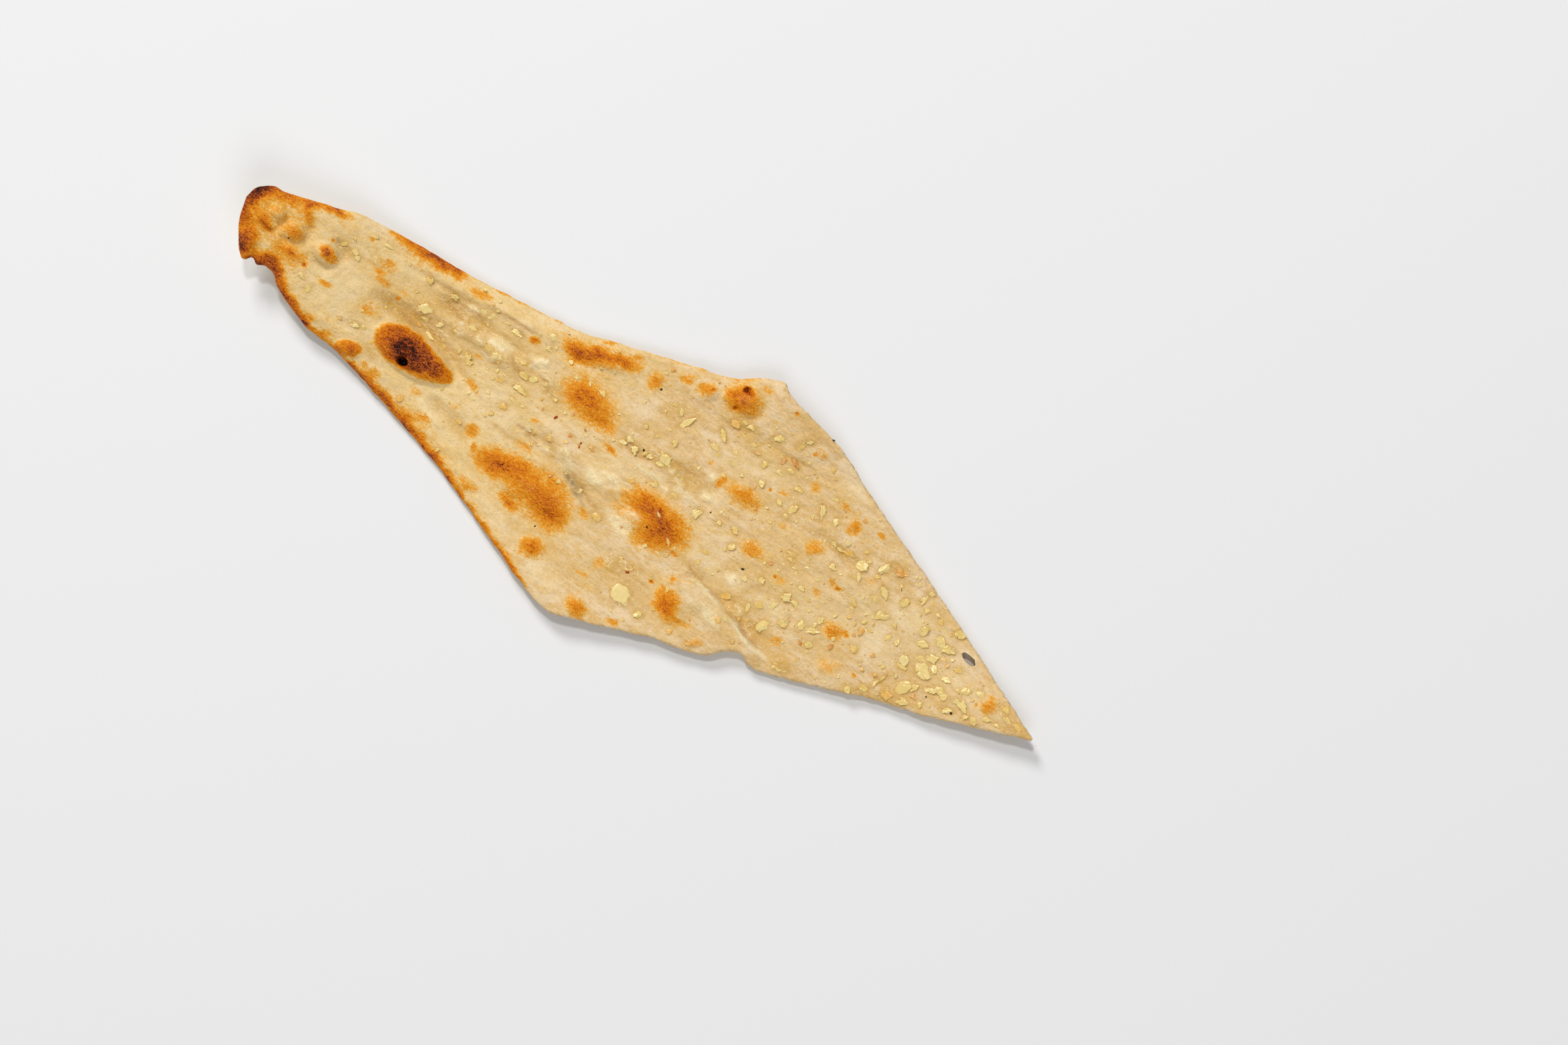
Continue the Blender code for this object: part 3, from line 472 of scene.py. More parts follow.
# x, y, half length, half width, turn, thickness: where butter stands as a film on the skin
films = (
    (-57, 9.4, 6, 1.5, 4, 0.35), (-46.5, 8.8, 3.4, 2.2, -6, 0.4), (-66, 5.6, 3.6, 1.8, 10, 0.3),
    (-54, 5, 4.4, 2.6, -6, 0.35), (-35, 7, 3.4, 2.2, -30, 0.35), (-72, 1.6, 6, 1.2, -8, 0.3),
    (-60.8, 13.8, 4.8, 1.5, 3, 0.35), (-51.6, 14.8, 3.2, 1.3, 0, 0.3), (-79, 4.2, 3.6, 2.4, 10, 0.25),
    (-21, -7.6, 3.6, 2.4, -14, 0.4), (-3.6, -3.4, 4.6, 1.3, 14, 0.35), (-4, -9, 3.2, 1.8, -8, 0.35),
    (4.4, -11.6, 4, 2.2, 4, 0.35), (-1.6, -6.2, 3, 1, 30, 0.3), (14, 8.6, 6.2, 2.2, -4, 0.3),
    (20.4, 6.9, 1.9, 1.4, 30, 0.4), (2.4, 8.4, 4.4, 2, -6, 0.3), (46, -16.2, 3.4, 1.8, -20, 0.45),
    (34, -14.6, 5, 1, -2, 0.35), (55, -19.6, 5, 1.2, -18, 0.35),
    (9, -24.4, 3.6, 2.8, -20, 0.35), (15.8, -30.9, 4.6, 3.8, -10, 0.3), (41.4, -30.4, 3.2, 1.6, 42, 0.35),
    (66, -21.6, 3, 2.2, 10, 0.35), (78.2, -13.8, 4.2, 2.4, 40, 0.35),
    (-15, -18.6, 3, 1.6, -10, 0.25), (-24.6, -20.4, 3, 1.6, 0, 0.25), (13.4, 36.6, 2.6, 2, 0, 0.25),
    (33.6, 36.4, 3, 2, 60, 0.3), (12.6, -23, 2.4, 1.6, 10, 0.3), (5.6, -1, 2.6, 1, 0, 0.25),
    (-29, -8.6, 5, 0.7, -8, 0.3), (-38, 8.4, 3.6, 0.8, 4, 0.35), (100.4, 2.2, 4.6, 3, -8, 0.25),
    (99.6, -6.4, 3.4, 2.4, 60, 0.25), (128.6, 3.2, 5, 1.8, -6, 0.25), (40, -8.4, 3.2, 1.6, 0, 0.25),
    (71.6, 6.2, 3, 1.4, -8, 0.25), (-98.6, 8.4, 2, 1.4, -50, 0.25), (-129.8, 3.2, 2.4, 1.6, 0, 0.2),
    (-111.4, 3.6, 2.6, 0.9, -10, 0.2), (11, -5.6, 1.8, 1, -35, 0.3),
)
# x, y, half length, half width, turn, strength: where the skin stayed pale and floury, and pale painted
# highlights on the butter
flourAndHighlight = (
    (100, 8, 18, 8, -18, 0.3), (118, 3, 13, 4, -8, 0.3), (74, 4, 16, 10, 0, 0.25), (60, -6, 13, 8, 0, 0.25),
    (-42.2, 10.8, 2.2, 2, 10, 0.9), (-10.6, -6.6, 4.2, 2.4, 0, 0.9), (41, -21, 5.4, 2.8, -14, 0.45),
    (21, 7.4, 3.2, 2.4, 0, 0.8), (-21, -7.6, 3, 1.8, -20, 0.45), (18, 12.6, 2.4, 1.6, 40, 0.7),
    (4.6, -13.8, 4.4, 2.6, -20, 0.9), (-56.6, 8.8, 4.6, 1.4, 0, 0.5), (39.9, -8.8, 1.4, 1.8, 0, 0.8),
    (54, -9, 6, 2.6, 0, 0.6), (30, -8, 7, 3, 0, 0.4), (36, -12, 6, 3, 0, 0.4), (-54, 8.6, 5, 1.6, 0, 0.4),
    (-3, -1.5, 7, 4.5, 0, 0.6), (5.8, -12.5, 3.6, 2.4, -20, 0.8), (20.4, 6.6, 2.2, 1.6, 30, 0.8),
    (41, -8.4, 3.4, 2.2, 0, 0.7), (-19.5, -8.2, 4.6, 1.3, -10, 0.4), (37, -20.2, 7, 3, -14, 0.4),
    (80, -14.6, 3, 2.4, 0, 0.5), (-25.6, 27.1, 2, 1.4, 20, 0.8), (16.5, -3.6, 3, 1.4, 0, 0.4),
    (86, 0, 8, 6, 0, 0.4), (20, 20, 9, 3, 0, 0.3), (-60, -20, 12, 3, -16, 0.35),
    (-30, -33, 12, 2.6, -18, 0.4), (-8, -39, 9, 3, -14, 0.35), (55, 33, 9, 3, -20, 0.3),
    (90, 12, 8, 4, 0, 0.3), (-104, -11, 9, 3, -8, 0.3), (-92, 12, 13, 5, 0, 0.35),
    (-106, -3, 11, 6, 0, 0.3), (-62, -14, 10, 4, 0, 0.25), (-120, 4, 8, 5, 0, 0.25),
    (30, 24, 10, 4, 0, 0.25),
)
# half width, line: wrinkles of the buttered skin, with a painted highlight along them, and the dark creases
# beside them, with painted shade along them
veins = {
    # the flap's lip, with a painted highlight along it
    "lip": (
        (0.4, ((28, -15.9), (31, -15.2), (35.2, -15.7), (38.8, -16.4), (42.6, -17.2), (45, -18.4))),
        (0.4, (
            (43.8, -18.3), (47.5, -18.7), (50.2, -20.1), (52.9, -21.2),
            (56.5, -21.9), (59.7, -21.9), (62.5, -23),
        )),
    ),
    # light wrinkles: ridges in the relief, with a painted highlight along them
    "light": (
        (0.75, ((-43, 8.5), (-40, 8.8), (-37.5, 8.4), (-36, 7.2))),
        (0.85, ((-44, 11), (-43, 9.5), (-45, 8.5))),
        (0.85, ((-42.8, 9.8), (-43, 11.8), (-41.2, 12.6), (-40.4, 11))),
        (0.75, ((-54, 11), (-52.5, 10), (-50.5, 9.5))), (0.75, ((-30, -8.5), (-27.5, -8.8), (-25, -8.9))),
        (0.95, ((-16, -9.8), (-20, -9.4), (-23.8, -8.8))),
        (0.75, ((-23.8, -8.8), (-22.5, -6), (-21.3, -5.3), (-20, -7), (-18.5, -8.8), (-16, -9.8))),
        (0.85, ((-35.5, -6.4), (-33.5, -6.8))), (0.7, ((-60, 4.5), (-57, 4), (-53.5, 3.8))),
        (0.85, ((-69.6, 12.8), (-67.2, 13.2), (-65.2, 12.6))),
        (0.95, ((-59.2, 8.4), (-56.8, 8), (-54.4, 8.4), (-52.4, 8))),
        (0.85, ((-58.4, 9.6), (-55.2, 10), (-52, 8.8))), (0.75, ((-54.4, 10.8), (-52.4, 10), (-50.8, 9.2))),
        (1.05, ((-65.8, 8.4), (-63.2, 8.6))), (0.85, ((-68.6, 8), (-67.4, 6.8))),
        (0.7, ((-68.8, 4.8), (-66.8, 5.2), (-66.4, 4), (-68, 3.6))),
        (0.75, ((-62.8, 7.6), (-60.4, 6.4), (-59.2, 5.2))),
        (0.8, ((-10.4, -6), (-8.4, -4.4), (-4.8, -4), (-0.8, -3.6), (2, -3.6))),
        (0.7, ((-8, -5.2), (-5.6, -5.2), (-0.8, -5.6))),
        (0.95, ((-12.8, -5.6), (-10.8, -6.8), (-8.8, -8), (-6, -6))),
        (0.8, ((-13, -7.8), (-10, -8.6), (-7, -7.4))),
        (0.75, ((8.4, 6.6), (10.8, 6), (12.4, 5.4), (14, 4.6))), (0.75, ((6.6, 7.2), (8.6, 7))),
        (0.85, ((10.4, 4.6), (12.4, 4), (15.6, 3.4), (18, 4.4))), (0.75, ((14, 4.6), (17, 4), (21, 3.2))),
        (0.95, ((2, -14), (3.2, -15.2), (4.8, -13.6), (6.8, -13.2))),
        (0.85, ((3.6, -11.6), (3.2, -10), (5.6, -9.6), (8.4, -10))),
        (0.95, ((-2, -13.6), (0.4, -14.8), (2.8, -15.6), (6, -16), (8.4, -15.6))),
        (0.75, ((-3, -12.4), (1, -13.2), (4, -12.6))), (0.85, ((21.2, 8.4), (20.8, 5.8))),
        (0.8, ((30.2, -15.3), (35.2, -15.8), (38.8, -16.5), (42.5, -17.1))),
        (0.95, ((17.4, 13.4), (19.2, 11.6))),
        (0.8, (
            (43.8, -18.3), (47.5, -18.7), (50.2, -20.1), (52.9, -21.2),
            (56.5, -21.9), (59.7, -21.9), (62.5, -23),
        )),
        (0.85, ((39.4, -7.6), (39.8, -9), (41, -10.4))),
        (0.75, ((44.6, -14.2), (46.6, -14.6), (48.4, -16))), (0.75, ((36, -19), (40, -20.6), (45, -20.2))),
        (0.75, ((38, -22.4), (42, -22), (46, -23.2))), (0.85, ((-3.8, 3.6), (1, 2.6), (5, 3.4), (9, 2.8))),
        (0.75, ((6.5, 1.4), (9, 2.2), (10, 0.8))),
    ),
    # dark creases: grooves in the relief, with painted shade along them
    "dark": (
        (0.5, ((-51, 9), (-48.5, 7), (-45, 5), (-41, 4.8))),
        (0.5, ((-35.5, -8), (-32, -8.5), (-29, -9.1), (-25, -9.6))),
        (0.5, ((-42.5, 8), (-40, 8.1), (-37.5, 7.6), (-36.2, 6.5), (-35.8, 4.5))),
        (0.45, ((-56, 4), (-54, 3.3), (-52.3, 3.7))),
        (0.5, ((-60.8, 5.2), (-58.4, 4.8), (-56, 4), (-53.6, 3.4))),
        (0.5, ((-76, 12.4), (-73.6, 11.6), (-70.4, 12), (-66, 12.4), (-61.6, 12))),
        (0.5, ((-54.8, 14), (-52.8, 15.6), (-50.4, 14.6))),
        (0.6, ((-50.8, 8.4), (-49.2, 7.2), (-47.6, 5.6), (-45.6, 4.8))),
        (0.8, ((-86, 0.4), (-81.6, -0.6), (-78, -1.6), (-74, -2))),
        (0.8, ((-76.8, 9.2), (-73.6, 10), (-70.4, 9.2), (-67.2, 8.4))),
        (0.6, ((-67, 16), (-56, 17), (-46, 17.4))), (0.5, ((-4.8, -3.2), (-0.8, -2.6), (2, -2.8))),
        (0.5, ((30.6, -14.5), (35.2, -15), (38.8, -15.6), (42.6, -16.2))),
        (0.6, ((-13, -11), (-8, -14), (-3, -14.4))),
        (0.6, ((44.4, -17), (48, -17.6), (51, -19), (54, -20.2), (58, -20.8), (62, -21.6))),
        (0.6, ((26, -12), (30, -14), (34, -14.2))), (0.5, ((-9.8, 7.6), (-6.6, 5.4), (-3, 5.4), (1, 6.2))),
        (0.5, ((6, 9.8), (10, 10), (15, 10.2))), (0.5, ((-38.4, -7.6), (-35, -7.4), (-31, -7.8))),
    ),
}
garlic = {
    # x, y, length, width, turn, tone (0 pale, 1 toasted)
    "pieces": (
        # point
        (69.1, 16.4, 3.7, 3.3, 20, 0.1), (70.2, 13.1, 2.8, 1.2, -60, 0.1), (75.6, 20, 5.6, 2.6, 58, 0.15),
        (79.9, 21.4, 3.2, 2.8, 30, 0.5), (68.2, 20.6, 1.9, 1.5, 0, 0.3), (89.7, 18.4, 3.2, 1.6, 80, 0.15),
        (90.6, 21.2, 2.2, 1.3, 0, 0.2), (92.4, 16.6, 2.2, 1.6, 60, 0.2), (104.3, 16.3, 3.6, 2.6, 25, 0.2),
        (97.6, 16, 2.2, 1.4, -20, 0.3), (85.6, 14.7, 3, 2.3, 70, 0.15),
        (79.1, 13.6, 4.2, 2, -42, 0.15), (77.8, 10.6, 2.7, 1.6, -10, 0.15),
        (62.4, 11.3, 2.3, 1.9, 0, 0.2), (58.5, 17.2, 1.7, 1.2, 0, 0.3), (63.8, 17.2, 4, 1.7, 5, 0.3),
        (68.8, 12.2, 2, 1, 20, 0.2), (81.9, 7.6, 3.6, 2.8, 35, 0.15), (83.5, 8.2, 2, 1.6, 80, 0.1),
        (71.8, 6.3, 5.2, 1.9, -8, 0.3), (95, 11, 3.4, 2.4, 80, 0.15), (96.9, 7.8, 3.4, 2.2, 10, 0.1),
        (100.9, 11.1, 3.6, 2.8, -30, 0.1), (104.1, 10.7, 4, 2.6, 20, 0.15),
        (104.1, 7.5, 3.2, 1.5, 0, 0.35), (109.7, 7.5, 2.7, 1.9, 0, 0.35), (101.5, 5.7, 3.8, 2.5, 15, 0.1),
        (99.1, 3.9, 4.6, 1.9, 5, 0.1), (101.5, 1.3, 5.8, 4.2, -8, 0.1), (95, 0.8, 3.6, 2.8, -35, 0.05),
        (95.6, -1.2, 3.4, 1.2, 0, 0.1), (90.3, 3.9, 2.3, 1.3, 85, 0.1), (87.4, 3.4, 2.5, 1.5, 70, 0.15),
        (87.2, 7.3, 1.9, 1.2, -25, 0.2), (79.1, 3.4, 2.1, 1.5, 30, 0.2), (79.6, 0.4, 2.4, 2.1, 60, 0.4),
        (81.8, 1.9, 1.7, 1.2, 0, 0.2), (73.8, 4.5, 1.7, 1.2, 0, 0.2), (66.5, 3.5, 1.8, 1.3, -30, 0.2),
        (58.2, 0.8, 2.4, 1.3, 0, 0.2), (103.8, 3.6, 2.8, 2, -50, 0.1), (108.5, 3.1, 3.1, 1.8, 0, 0.15),
        (115, 3.6, 3.6, 2.4, 40, 0.2), (112.9, 2.5, 2.1, 1.3, -20, 0.2), (119.1, 5.4, 2.7, 2.2, -20, 0.1),
        (116.4, -0.4, 5, 2.4, -25, 0.1), (114.6, -0.6, 3, 1.4, 10, 0.1),
        (108.9, -0.8, 4.2, 2.6, -10, 0.15), (107, -1.8, 2.6, 2, 50, 0.1),
        (110.6, -1.6, 2.4, 1.8, 80, 0.1), (105.6, -2.5, 1.8, 1.4, 45, 0.1),
        (124.7, 0.3, 2.6, 1.6, 20, 0.15), (121.7, -2.4, 2.9, 2, -25, 0.15),
        (119.2, -2.6, 2.2, 1.4, 60, 0.2), (113.8, -4.2, 3.5, 1.8, 25, 0.1),
        (127.6, 6, 3, 1.9, -18, 0.3), (129.7, 3.4, 3.3, 1.6, -20, 0.1),
        (128.2, 0.6, 2.2, 1.2, 10, 0.15), (133.4, 3.6, 3, 1.6, -12, 0.35),
        (95.6, -4.3, 1.9, 0.9, -75, 0.1), (99.4, -6, 5.4, 3.6, 62, 0.1), (102, -4.2, 3, 1.9, 55, 0.1),
        (92.9, -7.2, 2.5, 1, 80, 0.2), (103.5, -6.4, 1.7, 1.5, 0, 0.6), (106.2, -7.4, 2, 1.7, 80, 0.2),
        (101.5, -9.4, 3.8, 2.4, 20, 0.15), (96.5, -10.8, 3.4, 2.5, 0, 0.35),
        (91.8, -9.6, 3, 1.2, 85, 0.2), (90, -12.8, 2.5, 2.1, 30, 0.3), (86.2, -15.8, 2.3, 2.2, 0, 0.2),
        (80.9, -4.9, 2.8, 2.1, -40, 0.3), (68.2, -3.7, 2.4, 1.8, 70, 0.15),
        (64.4, -8.1, 3.2, 2.3, -75, 0.1), (68.2, -7.4, 4.2, 1.9, 32, 0.1), (67.6, -5.8, 2, 1.4, 60, 0.15),
        (75, -8.4, 2.1, 1.4, 70, 0.6), (56.2, -4, 3.1, 2.6, 40, 0.1), (59.4, -4, 3.2, 1.6, -15, 0.15),
        (67.1, -12.7, 1.1, 1, 0, 0.62), (69.4, -11.6, 2.6, 2, 40, 0.2),
        (59.7, -10.8, 2.7, 2.4, 0, 0.35), (78.4, -13.6, 4.4, 2.6, 40, 0.35),
        (55.2, -14.8, 4.2, 3, 75, 0.15), (66.2, -21.7, 4.4, 3.2, 10, 0.3),
        # middle, upper side
        (27.9, 33.1, 3.5, 2.1, 15, 0.2), (34.2, 35.3, 3.4, 2.4, 65, 0.35), (35.8, 37.2, 2.2, 1.2, 20, 0.15),
        (19.2, 31.1, 2.7, 1.5, 10, 0.15), (17, 31.3, 1.7, 1.2, 0, 0.2), (14.8, 29.4, 3.2, 2.2, 0, 0.35),
        (32.6, 28.4, 2.3, 1.3, 80, 0.6), (35.8, 29.9, 3.6, 1.2, -25, 0.6), (36.1, 27.2, 2.3, 1.4, 10, 0.3),
        (33.6, 25, 2.2, 1.4, 0, 0.1), (28.6, 24.7, 2.8, 1.9, 70, 0.3), (25.1, 26.1, 2.5, 1.2, 10, 0.4),
        (22.6, 27.2, 2.4, 1.3, 0, 0.3), (41.1, 24.1, 3, 1.5, 12, 0.3), (13.9, 24.5, 4.2, 1.7, -38, 0.2),
        (13.6, 20.3, 3.3, 1.5, -8, 0.15), (15.8, 18.8, 1.5, 1, 0, 0.3), (2.9, 21.4, 6, 1.8, 62, 0.1),
        (-0.2, 23.1, 2.6, 1.3, -60, 0.1), (-2.7, 23.8, 1.5, 1, 0, 0.2), (0.3, 17, 1.7, 1, 0, 0.2),
        (3.4, 14.4, 2.3, 1.8, 80, 0.2), (-2, 13.1, 1.3, 1.1, 0, 0.2), (-6.1, 13.8, 1.3, 1, 0, 0.1),
        (20.8, 19.2, 2.1, 1, 0, 0.2), (31.1, 19.4, 2.5, 1.8, -35, 0.15),
        (38.6, 17.8, 2.1, 1.5, -30, 0.15), (42.9, 18.4, 3.4, 2.1, 62, 0.15), (42.3, 15.4, 1.7, 1.4, 0, 0.2),
        (50.8, 22.5, 4.7, 1.9, -58, 0.1), (55.4, 22.5, 2.6, 2.1, 80, 0.15),
        (51.9, 28.1, 1.8, 1.1, -20, 0.2), (59.2, 28.1, 1.7, 1.4, 0, 0.3), (58.9, 16.9, 2, 1.2, 0, 0.15),
        (61, 16.6, 2, 1.1, 0, 0.2), (3.9, 9.1, 4, 2.8, -15, 0.05), (3.3, 6.9, 2.5, 1.5, 5, 0.1),
        (-0.2, 7.2, 2.4, 1.5, 20, 0.15), (-2, 7, 1.7, 1.3, 70, 0.15), (-4.9, 6.1, 2.7, 2.2, -40, 0.1),
        (-7.7, 7.8, 2.2, 1.4, 0, 0.15), (5.4, 1.3, 2.3, 2.1, 0, 0.2), (11.7, 1.4, 3.1, 1.4, 15, 0.3),
        (20.3, 1.3, 3.2, 2.7, 80, 0), (32.6, 3.6, 2.7, 1.8, -25, 0.35), (27.3, 2.8, 1.7, 1.2, 0, 0.2),
        (34.5, -0.9, 2.3, 2.1, 45, 0.15), (46.4, 1.6, 1.7, 1.1, 0, 0.6), (50.1, 7.2, 3.2, 1.3, 0, 0.3),
        (51.1, 5.9, 2.1, 1.2, -10, 0.15), (53.2, 4.5, 1.9, 0.9, 0, 0.2), (20.2, 6.8, 2.4, 1.7, 40, 0),
        # middle, lower side
        (47.3, -3.9, 2.3, 1.8, -70, 0.1), (54.5, -7.8, 3, 1.7, 70, 0.15),
        (48.6, -12.8, 2.8, 1.5, -65, 0.1), (50.8, -10.3, 2.9, 2.2, 20, 0.3),
        (41.4, -13.8, 3.1, 1.9, 30, 0.3), (46.4, -16.4, 4.8, 3, -20, 0.35),
        (59.8, -10.6, 2.6, 2, 60, 0.25), (37, -20.3, 2.9, 2.4, -60, 0.45),
        (43.3, -20.9, 2.9, 2, -70, 0.45), (28.9, -6.6, 2.7, 1.2, 0, 0.3),
        (28.9, -10.3, 1.7, 1.2, 60, 0.25), (4.5, -14.4, 2, 1.2, 70, 0.6),
        (5.4, -11.2, 3.8, 2, 10, 0.55), (-3, -8.8, 2.6, 2.2, 0, 0.3), (-3, -2.8, 3.3, 1.5, 10, 0.3),
        (-0.8, -1.7, 2.1, 1.8, 0, 0.45), (-3, -16.6, 3.1, 2.3, 0, 0.35),
        (15.8, -30.9, 6.4, 5.2, -10, 0.05), (23.2, -33, 2.7, 2.3, 15, 0.1),
        (12.9, -23.1, 3.2, 2.4, 10, 0.35), (9.8, -22.8, 2.2, 1.8, 40, 0.3), (8.9, -25.6, 3, 2.6, 0, 0.35),
        (41.2, -30.5, 5, 2.2, 42, 0.45), (33.6, -31.9, 2, 1.3, 80, 0.3),
        (11.5, -5.6, 2.4, 1.1, -35, 0.3), (18.4, -10.4, 2.6, 0.9, -45, 0.4),
        # butter and garlic strip
        (-43.5, 19.5, 2.3, 2, 0, 0.1), (-52.9, 14.6, 3.6, 1.7, 0, 0.1), (-61.8, 14.3, 2.7, 2.3, 20, 0.1),
        (-64.6, 13.9, 2.3, 1.7, 70, 0.15), (-56.8, 15.2, 1.5, 0.9, 0, 0.1), (-73.9, 12.7, 2.2, 1.8, 0, 0.2),
        (-47.4, 8.7, 4.2, 1.9, -5, 0.3), (-53.9, 5.3, 3.9, 2.8, -10, 0.05),
        (-57.1, 6.1, 2.9, 2.2, 30, 0.25), (-64.5, 8.2, 2.8, 1.5, 5, 0), (-67.6, 4.5, 2.3, 1.9, 0, 0.3),
        (-63.9, 6.1, 1.7, 1.3, 0, 0.3), (-73, 3.5, 2.6, 1.7, 30, 0.05), (-60.8, 0.6, 2.9, 2, -50, 0.15),
        (-59.6, -0.9, 2.2, 1.7, 10, 0.15), (-63.9, 0.6, 2.1, 1.1, 80, 0.2),
        (-73.7, -0.8, 3.4, 1.2, -14, 0.05), (-44.4, 5.4, 3.6, 1.8, -8, 0.2),
        (-41.3, 6.1, 2.6, 1.9, 40, 0.15), (-34.6, 6.6, 2.4, 1.6, 60, 0.3), (-33, 5.2, 2.6, 1.5, -40, 0.3),
        (-42.6, 1.4, 4.6, 1.9, -3, 0.1), (-42.9, -2.3, 2.2, 1, -30, 0.1),
        (-39.5, -2.2, 1.7, 0.8, 10, 0.1), (-49.2, 0.3, 2.2, 1.5, 0, 0.35), (-44.2, -5.5, 2.6, 1.9, 20, 0.3),
        (-52.1, -16.6, 1.9, 1.4, 0, 0.4), (-70.3, -21, 2.3, 1.6, 70, 0.4),
        (-34.2, -6.8, 2.3, 0.9, -10, 0.05), (-27.6, -5.5, 2.1, 1.5, -20, 0.45),
        (-21.1, -7.3, 3.1, 2.4, -60, 0), (-15.5, -0.7, 2.1, 1.4, -10, 0.5),
        (-23, -1.3, 1.5, 1.1, 0, 0.55), (-22.4, 14.5, 2.7, 1.6, -25, 0.15),
        (-31.3, 13.7, 1.7, 1.2, 0, 0.2), (-8.2, 7.9, 2, 1.5, -50, 0.1), (-9.2, 6.1, 2.5, 1.5, 20, 0.1),
        (-6.3, 13.7, 1.5, 1.2, 0, 0.2), (-34.1, 0.6, 1.1, 0.8, 0, 0.7), (-25.8, 4.4, 1.1, 0.8, 60, 0.75),
        (-20.3, 2.5, 1.1, 0.8, -30, 0.75), (-42.6, 16.1, 2, 1.5, 0, 0.1),
        # head
        (-98, 13.9, 3.1, 1.2, -5, 0.1), (-82.7, 12.6, 2.4, 2.1, -45, 0.2),
        (-74.1, 12.6, 2.5, 1.7, 0, 0.1), (-99.1, 8.5, 2.8, 1.9, -55, 0), (-105.1, 6.9, 2.3, 1.9, 0, 0.1),
        (-103.7, 5.9, 1.9, 1.4, -20, 0.1), (-109.1, 7, 1.8, 1.2, 40, 0.2),
        (-79.1, 5, 4.2, 3, 10, 0.05), (-77.5, 2.3, 2.9, 1.8, 0, 0.1),
        (-113.9, -7.7, 2.5, 1.4, -15, 0.15), (-110.3, -9.6, 2.7, 2.1, 70, 0.25),
        (-93.2, -10.7, 2.7, 1.5, 15, 0.1), (-98, -11.7, 1.5, 0.8, 0, 0.4),
        (-88.8, -1.2, 1.2, 0.9, 60, 0.3),
    ),
    "wetTones": (0.24, 0.39),  # these tones are soaked through, and lie lower
    "wetHeight": 0.65,  # share of the usual height
    "grow": 1.06,  # all are this much larger than drawn
    "tilt": 0.12,  # how far a piece leans by chance
    "lift": 0.12,  # share of its height that a piece's middle stands over the skin
    "tallest": 0.95,
    "crumbs": 430,  # smaller bits scattered between those, thickest towards the point
    "crumbArea": (-125, 136, -42, 44),
    "crumbSize": (0.6, 1.3),  # the least, and what is added to it at most
    "crumbLeast": 0.04,  # share of the places that get one, and what is added from one x to another
    "crumbMore": ((0.3, -110, -60), (0.5, 0, 100), (0.45, 84, 100)),
    "crumbToast": 0.3,  # none lies on bread that is browned more than this
    "seed": 7,
    "soften": 2,  # smoothing passes
    "triangles": 420,  # in each piece
    # each shape's number of small flakes, radius of the middle one and reach of the others
    "shapes": (
        (3, 0.42, 0.26), (3, 0.36, 0.3), (4, 0.35, 0.3), (3, 0.3, 0.33), (5, 0.32, 0.31), (4, 0.31, 0.34),
        (6, 0.28, 0.34), (5, 0.26, 0.31), (7, 0.26, 0.35), (4, 0.4, 0.26),
    ),
    "lump": (6, 0.46, 0.2),  # a compact one for the pieces wider than lumpFrom
    "lumpFrom": 4.5,
}


def selectOnly(obj):
    bpy.ops.object.select_all(action="DESELECT")
    obj.select_set(True)
    bpy.context.view_layer.objects.active = obj


def applyModifier(obj, kind, **settings):
    selectOnly(obj)
    modifier = obj.modifiers.new(kind.lower(), kind)
    for name, value in settings.items():
        setattr(modifier, name, value)
    bpy.ops.object.modifier_apply(modifier=modifier.name)


def getPoints(obj):
    points = np.empty(len(obj.data.vertices) * 3, np.float32)
    obj.data.vertices.foreach_get("co", points)
    return points.reshape(-1, 3).astype(float)


def setPoints(obj, points):
    obj.data.vertices.foreach_set("co", points.astype(np.float32).ravel())
    obj.data.update()


def addAttribute(obj, name, values):
    attribute = obj.data.attributes.new(name, "FLOAT", "POINT")
    attribute.data.foreach_set("value", values.astype(np.float32))


def spotsAt(x, y, spots, faint=1.5, full=0.1):
    # the spots together, each fading from its middle out to a soft edge
    left = np.ones(x.shape)
    for atX, atY, halfLong, halfWide, turn, strength in spots:
        reach = faint * max(halfLong, halfWide) + 0.5  # millimetres
        near = (np.abs(x - atX) < reach) & (np.abs(y - atY) < reach)
        away = np.sqrt(ellipse(x[near], y[near], atX, atY, halfLong, halfWide, turn))
        left[near] *= 1 - strength * ramp(-away, -faint, -full)
    return 1 - left


def toastAt(x, y):
    wavyX, wavyY = wavered(x, y, "toast")
    left = 1 - spotsAt(wavyX, wavyY, toast["spots"])
    crispX, crispY = x + toast["crispWaver"] * (wavyX - x), y + toast["crispWaver"] * (wavyY - y)
    left *= 1 - spotsAt(crispX, crispY, toast["crisp"], 1.06, 0.86)
    uneven = layered(x, y, toast["rimPatches"], toast["rimShare"])
    for strength, halfWidth, line in toast["rims"]:
        away, _, share, _ = lineDistance(wavyX, wavyY, line)
        fade = ramp(share, -0.01, 0.12) * ramp(-share, -1.01, -0.88)
        left *= 1 - np.clip(strength * uneven, 0, 1) * ramp(-away, -2.2 * halfWidth, 0) * fade
    glow = spotsAt(wavyX, wavyY, toast["glow"], 1.3, 0.0)
    return np.clip(1 - left + glow * left ** 4, 0, 1)


